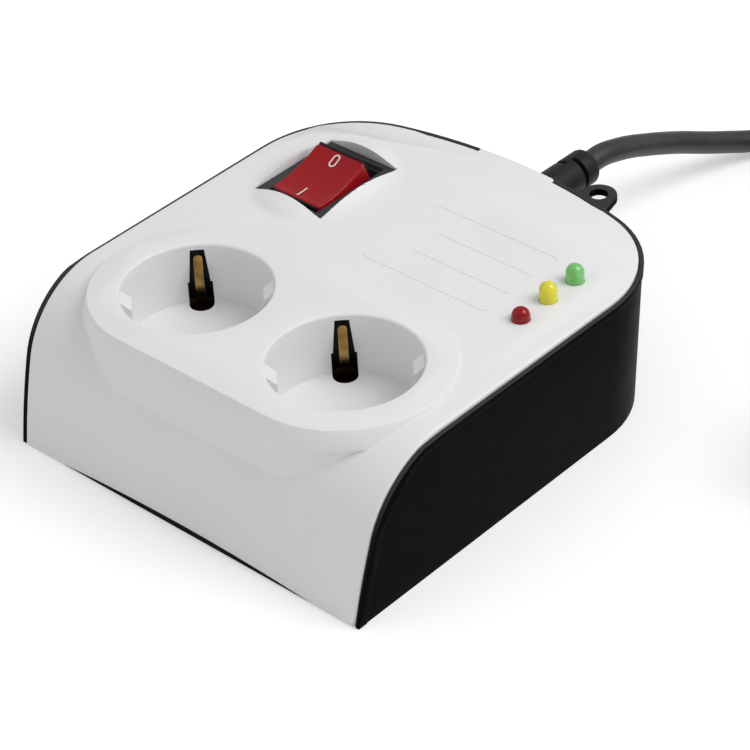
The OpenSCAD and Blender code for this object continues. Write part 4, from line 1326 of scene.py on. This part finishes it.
@dataclass
class Contacts:
    """Earth clips that show in the sockets, and the contacts below them."""

    shop: Workshop
    socket: Pair = (0.0255, -0.0345)
    turns: Pair = (135.0, 315.0)
    edge_r: float = 0.00012
    tip_z: float = 0.0393
    tip_r: float = 0.00105
    tip_edge: float = 0.001
    tip_steps: int = 5
    # The dark plates behind the slots are painted shade that stands in for the darkness inside the housing.
    shade_low: Point = (0.0226, -0.0045, 0.0245)
    shade_high: Point = (0.023, 0.0045, 0.0408)
    shade_edge_r: float = 0.00005

    PARTS = (
        ("earth_link", "brass", 0.0001),
        ("live_bus", "brass", 0.0),
        ("neutral_bus", "brass", 0.0),
        ("socket_tray", "ivory_plastic", 0.0002),
    )

    def build(self) -> None:
        """Makes the contacts and their tray."""
        for side in ("left", "right"):
            self._clip(f"earth_clip_{side}")
        self._painted_shade_plates()
        self.shop.soften_all(self.PARTS)

    def _clip(self, node: str) -> None:
        """Makes one pair of earth clips, with round tips.

        Args:
            node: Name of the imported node.
        """
        bm = self.shop.copy_of(node)
        high = (e for e in sharp_edges(bm) if min(v.co.z for v in e.verts) > self.tip_z)
        tips = [e for e in high if e.calc_length() < self.tip_edge]
        round_off(bm, tips, self.tip_r, self.tip_steps)
        round_off(bm, sharp_edges(bm), self.edge_r)
        self.shop.piece(f"{node}_dressed", bm, "clip_brass", replaces=[node], slot="brass")

    def _painted_shade_plates(self) -> None:
        """Makes dark plates behind the slots, painted shade that stands in for the darkness inside the
        housing.
        """
        for number, (side, turn) in enumerate((s, t) for s in (-1, 1) for t in self.turns):
            bm = bmesh.new()
            add_box(bm, self.shade_low, self.shade_high)
            round_off(bm, bm.edges[:], self.shade_edge_r)
            spot = Matrix.Translation((side * self.socket[0], self.socket[1], 0.0))
            turned = spot @ Matrix.Rotation(math.radians(turn), 4, "Z")
            bmesh.ops.transform(bm, matrix=turned, verts=bm.verts)
            self.shop.piece(f"slot_painted_shade_{number}", bm, "black_plastic")


# Switch


@dataclass
class RockerSwitch:
    """The lit rocker switch in its bezel."""

    shop: Workshop
    pivot: Point = (-0.0353, 0.0241, 0.034)
    tilt: float = 13.5
    width: float = 0.0172
    half_top: float = 0.0096
    half_low: float = 0.0117
    low: float = -0.002
    lens_low: float = 0.0045
    top: float = 0.0121
    hollow: float = 0.0015
    corner_r: float = 0.0014
    corner_steps: int = 5
    edge_r: float = 0.0006
    edge_steps: int = 3
    border: float = 0.0013
    rib_pitch: float = 0.00066
    rib_depth: float = 0.00012
    rows: int = 12
    pocket: Point = (0.011, 0.0054, 0.0046)
    pocket_inset: float = 0.002
    pocket_up: float = 0.8
    dish_up: float = 0.5
    flat_up: float = 0.999
    end_t: float = 0.00035
    rear_t: float = 0.0005
    rear_rise: float = 0.0001
    sign_y: float = 0.0066
    sign_line: float = 0.0005
    zero_r: float = 0.00115
    zero_stretch: float = 0.0009
    zero_steps: int = 40
    bar_l: float = 0.0039
    ink_lift: float = 0.00001
    ink_t: float = 0.00006

    def _in_place(self, bm: BMesh) -> BMesh:
        """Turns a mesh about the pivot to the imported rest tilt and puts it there.

        Args:
            bm: The mesh, upright and with the pivot at zero.

        Returns:
            The same mesh, in place.
        """
        turn = Matrix.Translation(self.pivot) @ Matrix.Rotation(math.radians(self.tilt), 4, "X")
        bmesh.ops.transform(bm, matrix=turn, verts=bm.verts)
        return bm

    def _sag(self, y: float) -> float:
        """Depth of the finger hollow at a place along the rocker."""
        return self.hollow * max(0.0, 1 - (y / self.half_top) ** 2)

    def _taper(self, z: float) -> float:
        """Length of the rocker at a height, as a factor of its length at the top."""
        level = (z - self.low) / (self.top - self.low)
        return (self.half_low + (self.half_top - self.half_low) * level) / self.half_top

    def _lens(self) -> BMesh:
        """The red cap: rounded corners, tapered ends, a hollow top with fine ribs, a lamp pocket.

        Returns:
            The mesh, upright and with the pivot at zero.
        """
        half_w = self.width / 2
        bm = bmesh.new()
        add_box(bm, (-half_w, -self.half_top, self.lens_low), (half_w, self.half_top, self.top))
        upright = [e for e in bm.edges if abs(e.verts[0].co.z - e.verts[1].co.z) > NEAR]
        round_off(bm, upright, self.corner_r, self.corner_steps)
        rim = [e for e in bm.edges if min(v.co.z for v in e.verts) > self.top - NEAR]
        round_off(bm, rim, self.edge_r, self.edge_steps)
        self._sink_pocket(bm)
        count = round((self.width - 2 * self.border) / self.rib_pitch * 2)
        for i in range(count + 1):
            cut_through(bm, (-half_w + self.border + i * self.rib_pitch / 2, 0, 0), (1, 0, 0))
        for i in range(1 - self.rows, self.rows):
            cut_through(bm, (0, i * self.half_top / self.rows, 0), (0, 1, 0))
        self._shape_top(bm)
        bmesh.ops.recalc_face_normals(bm, faces=bm.faces)
        return bm

    def _sink_pocket(self, bm: BMesh) -> None:
        """Sinks the pocket of the glow lamp into the underside.

        Args:
            bm: The cap, still a plain block.
        """
        under = min(bm.faces, key=lambda f: f.calc_center_median().z)
        bmesh.ops.inset_individual(bm, faces=[under], thickness=self.pocket_inset)
        wide, deep, high = self.pocket
        x_half = max(abs(v.co.x) for v in under.verts)
        y_half = max(abs(v.co.y) for v in under.verts)
        bmesh.ops.scale(bm, vec=(wide / 2 / x_half, deep / 2 / y_half, 1.0), verts=under.verts[:])
        raised = bmesh.ops.extrude_discrete_faces(bm, faces=[under])["faces"][0]
        bmesh.ops.translate(bm, vec=(0, 0, high), verts=raised.verts[:])

    def _in_pocket(self, at: Vector) -> bool:
        """Whether a point lies over the pocket of the glow lamp, in plan."""
        wide, deep, _ = self.pocket
        return abs(at.x) <= wide / 2 + MERGE_GAP and abs(at.y) <= deep / 2 + MERGE_GAP

    def _shape_top(self, bm: BMesh) -> None:
        """Tapers the ends, hollows the top and cuts the fine ribs inside its border.

        Args:
            bm: The cap, cut into strips both ways.
        """
        half_w = self.width / 2
        inside = self.border - NEAR
        for v in bm.verts:
            up = (v.co.z - self.lens_low) / (self.top - self.lens_low)
            if up < self.pocket_up and self._in_pocket(v.co):
                continue
            grow = self._taper(v.co.z)
            if up > self.flat_up and abs(v.co.x) < half_w - inside and abs(v.co.y) < self.half_top - inside:
                rib = round((v.co.x + half_w - self.border) / (self.rib_pitch / 2))
                v.co.z -= self.rib_depth * (1 + rib % 2)
            if up > self.dish_up:
                v.co.z -= (up - self.dish_up) / (1 - self.dish_up) * self._sag(v.co.y)
            v.co.y *= grow

    def _end_plates(self) -> BMesh:
        """The dark ends at the lens's front and rear: the rear one the rocker's black end, the front one
        painted shade over the lens's front face, which lies in shadow.

        Returns:
            The mesh, upright and with the pivot at zero.
        """
        bm = bmesh.new()
        half_w = self.width / 2 - self.corner_r / 2
        # The front plate is painted shade; the rear plate is the rocker's black end.
        for side, depth, rise in ((-1, self.end_t, -self.edge_r / 2), (1, self.rear_t, self.rear_rise)):
            near, far = sorted((side * (self.half_top - self.end_t), side * (self.half_top + depth)))
            add_box(bm, (-half_w, near, self.lens_low), (half_w, far, self.top + rise))
        round_off(bm, bm.edges[:], self.end_t / 2)
        for v in bm.verts:
            v.co.y *= self._taper(v.co.z)
        return bm

    def _signs(self) -> BMesh:
        """The printed 0 at the rear and I at the front, draped over the hollow top.

        Returns:
            The mesh, upright and with the pivot at zero.
        """
        bm = bmesh.new()
        circle = bmesh.ops.create_circle(bm, cap_ends=True, segments=self.zero_steps, radius=self.zero_r)
        ring = circle["verts"]
        for v in ring:
            v.co.y += math.copysign(self.zero_stretch, v.co.y) if abs(v.co.y) > CUT_GAP else 0.0
        bmesh.ops.translate(bm, vec=(0.0, self.sign_y, 0.0), verts=ring)
        disc = next(iter(bm.faces))
        bmesh.ops.inset_individual(bm, faces=[disc], thickness=self.sign_line)
        bmesh.ops.delete(bm, geom=[disc], context="FACES_ONLY")
        rectangle(bm, (0.0, -self.sign_y), (self.sign_line, self.bar_l), (2, 10))
        for v in bm.verts:
            v.co.z = self.top - self._sag(v.co.y) + self.ink_lift
        bmesh.ops.solidify(bm, geom=bm.faces[:], thickness=-self.ink_t)
        bmesh.ops.recalc_face_normals(bm, faces=bm.faces)
        return bm

    def build(self) -> None:
        """Makes the switch's pieces."""
        self.shop.softened("switch_body", "dark_plastic", 0.00018)
        self.shop.softened("switch_terminals", "brass", 0.0)
        self.shop.softened("contact_levers", "brass", 0.0, Body.LEVERS)
        self.shop.softened("rocker_carrier", "black_plastic", 0.0002, Body.ROCKER)
        self.shop.softened("rocker_lamp", "lamp_glass", 0.0, Body.ROCKER)
        cap, ends, signs = (self._in_place(part()) for part in (self._lens, self._end_plates, self._signs))
        self.shop.piece("rocker_cap", cap, "red_lens", Body.ROCKER, ["rocker_lens"], sharp_degrees=50.0)
        self.shop.piece("rocker_ends", ends, "black_plastic", Body.ROCKER)
        self.shop.piece("rocker_signs", signs, "legend_ink", Body.ROCKER, slot="white_shell")


# Lamps


@dataclass
class LampRow:
    """The three round-topped lamps."""

    shop: Workshop
    x: float = 0.0469
    rows: tuple[float, ...] = (0.00675, 0.0174, 0.028)
    tips: tuple[float, ...] = (0.0035, 0.0053, 0.005)
    names: tuple[str, ...] = ("red", "yellow", "green")
    lens_r: float = 0.0024
    rim_r: float = 0.00285
    rim_h: float = 0.001
    rim_edge: float = 0.0001
    body_h: float = 0.0078
    steps: int = 40
    dome_steps: int = 10
    top_z: float = 0.0427

    def build(self) -> None:
        """Makes the lamps, each a tinted body with a rim and a round tip."""
        for name, row, tip in zip(self.names, self.rows, self.tips):
            self._lamp(name, row, self.top_z + tip)

    def _lamp(self, name: str, y: float, tip: float) -> None:
        """Makes one lamp.

        Args:
            name: Its colour's name.
            y: Its row.
            tip: Height of its tip.
        """
        low = tip - self.body_h - self.rim_h
        dome = arc((0.0, tip - self.lens_r), self.lens_r, 0, 90, self.dome_steps)
        edge = self.rim_edge
        profile = [
            (0.0, low),
            (self.rim_r - edge, low),
            (self.rim_r, low + edge),
            (self.rim_r, low + self.rim_h - edge),
            (self.rim_r - edge, low + self.rim_h),
            (self.lens_r, low + self.rim_h + edge / 2),
            *dome,
        ]
        bm = spun(profile, self.steps)
        bmesh.ops.translate(bm, vec=(self.x, y, 0), verts=bm.verts)
        self.shop.piece(f"lens_{name}", bm, f"led_{name}", replaces=[f"lamp_{name}"])


# Electronics


@dataclass
class Electronics:
    """Circuit board, what stands on it, and the wires."""

    shop: Workshop

    PARTS = (
        ("circuit_board", "board_green", 0.0),
        ("board_screws", "steel", 0.0),
        ("relay", "relay_blue", 0.0003),
        ("film_capacitor", "capacitor_yellow", 0.0003),
        ("storage_capacitor", "capacitor_sleeve", 0.0),
        ("varistor", "varistor_blue", 0.0),
        ("wires_live", "wire_brown", 0.0),
        ("wires_neutral", "wire_blue", 0.0),
        ("wire_earth", "wire_green_yellow", 0.0),
        ("cord_inner", "cord_rubber", 0.0),
    )

    def build(self) -> None:
        """Makes the board, its parts and the wires."""
        self.shop.soften_all(self.PARTS)


def main() -> None:
    """Builds the camera, the cord and then the rest."""
    logging.basicConfig(level=logging.INFO, format="%(name)s: %(message)s")
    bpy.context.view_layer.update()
    shop = Workshop(Palette())
    PhotoView().build()
    cord = MainsCord(shop)
    on_cord = [*Plug(shop).build(), cord.tie()]
    cord.build(on_cord)
    cord.strain_relief()
    Studio().build()
    Housing(shop).build()
    Contacts(shop).build()
    RockerSwitch(shop).build()
    LampRow(shop).build()
    Electronics(shop).build()


if __name__ == "__main__":
    main()
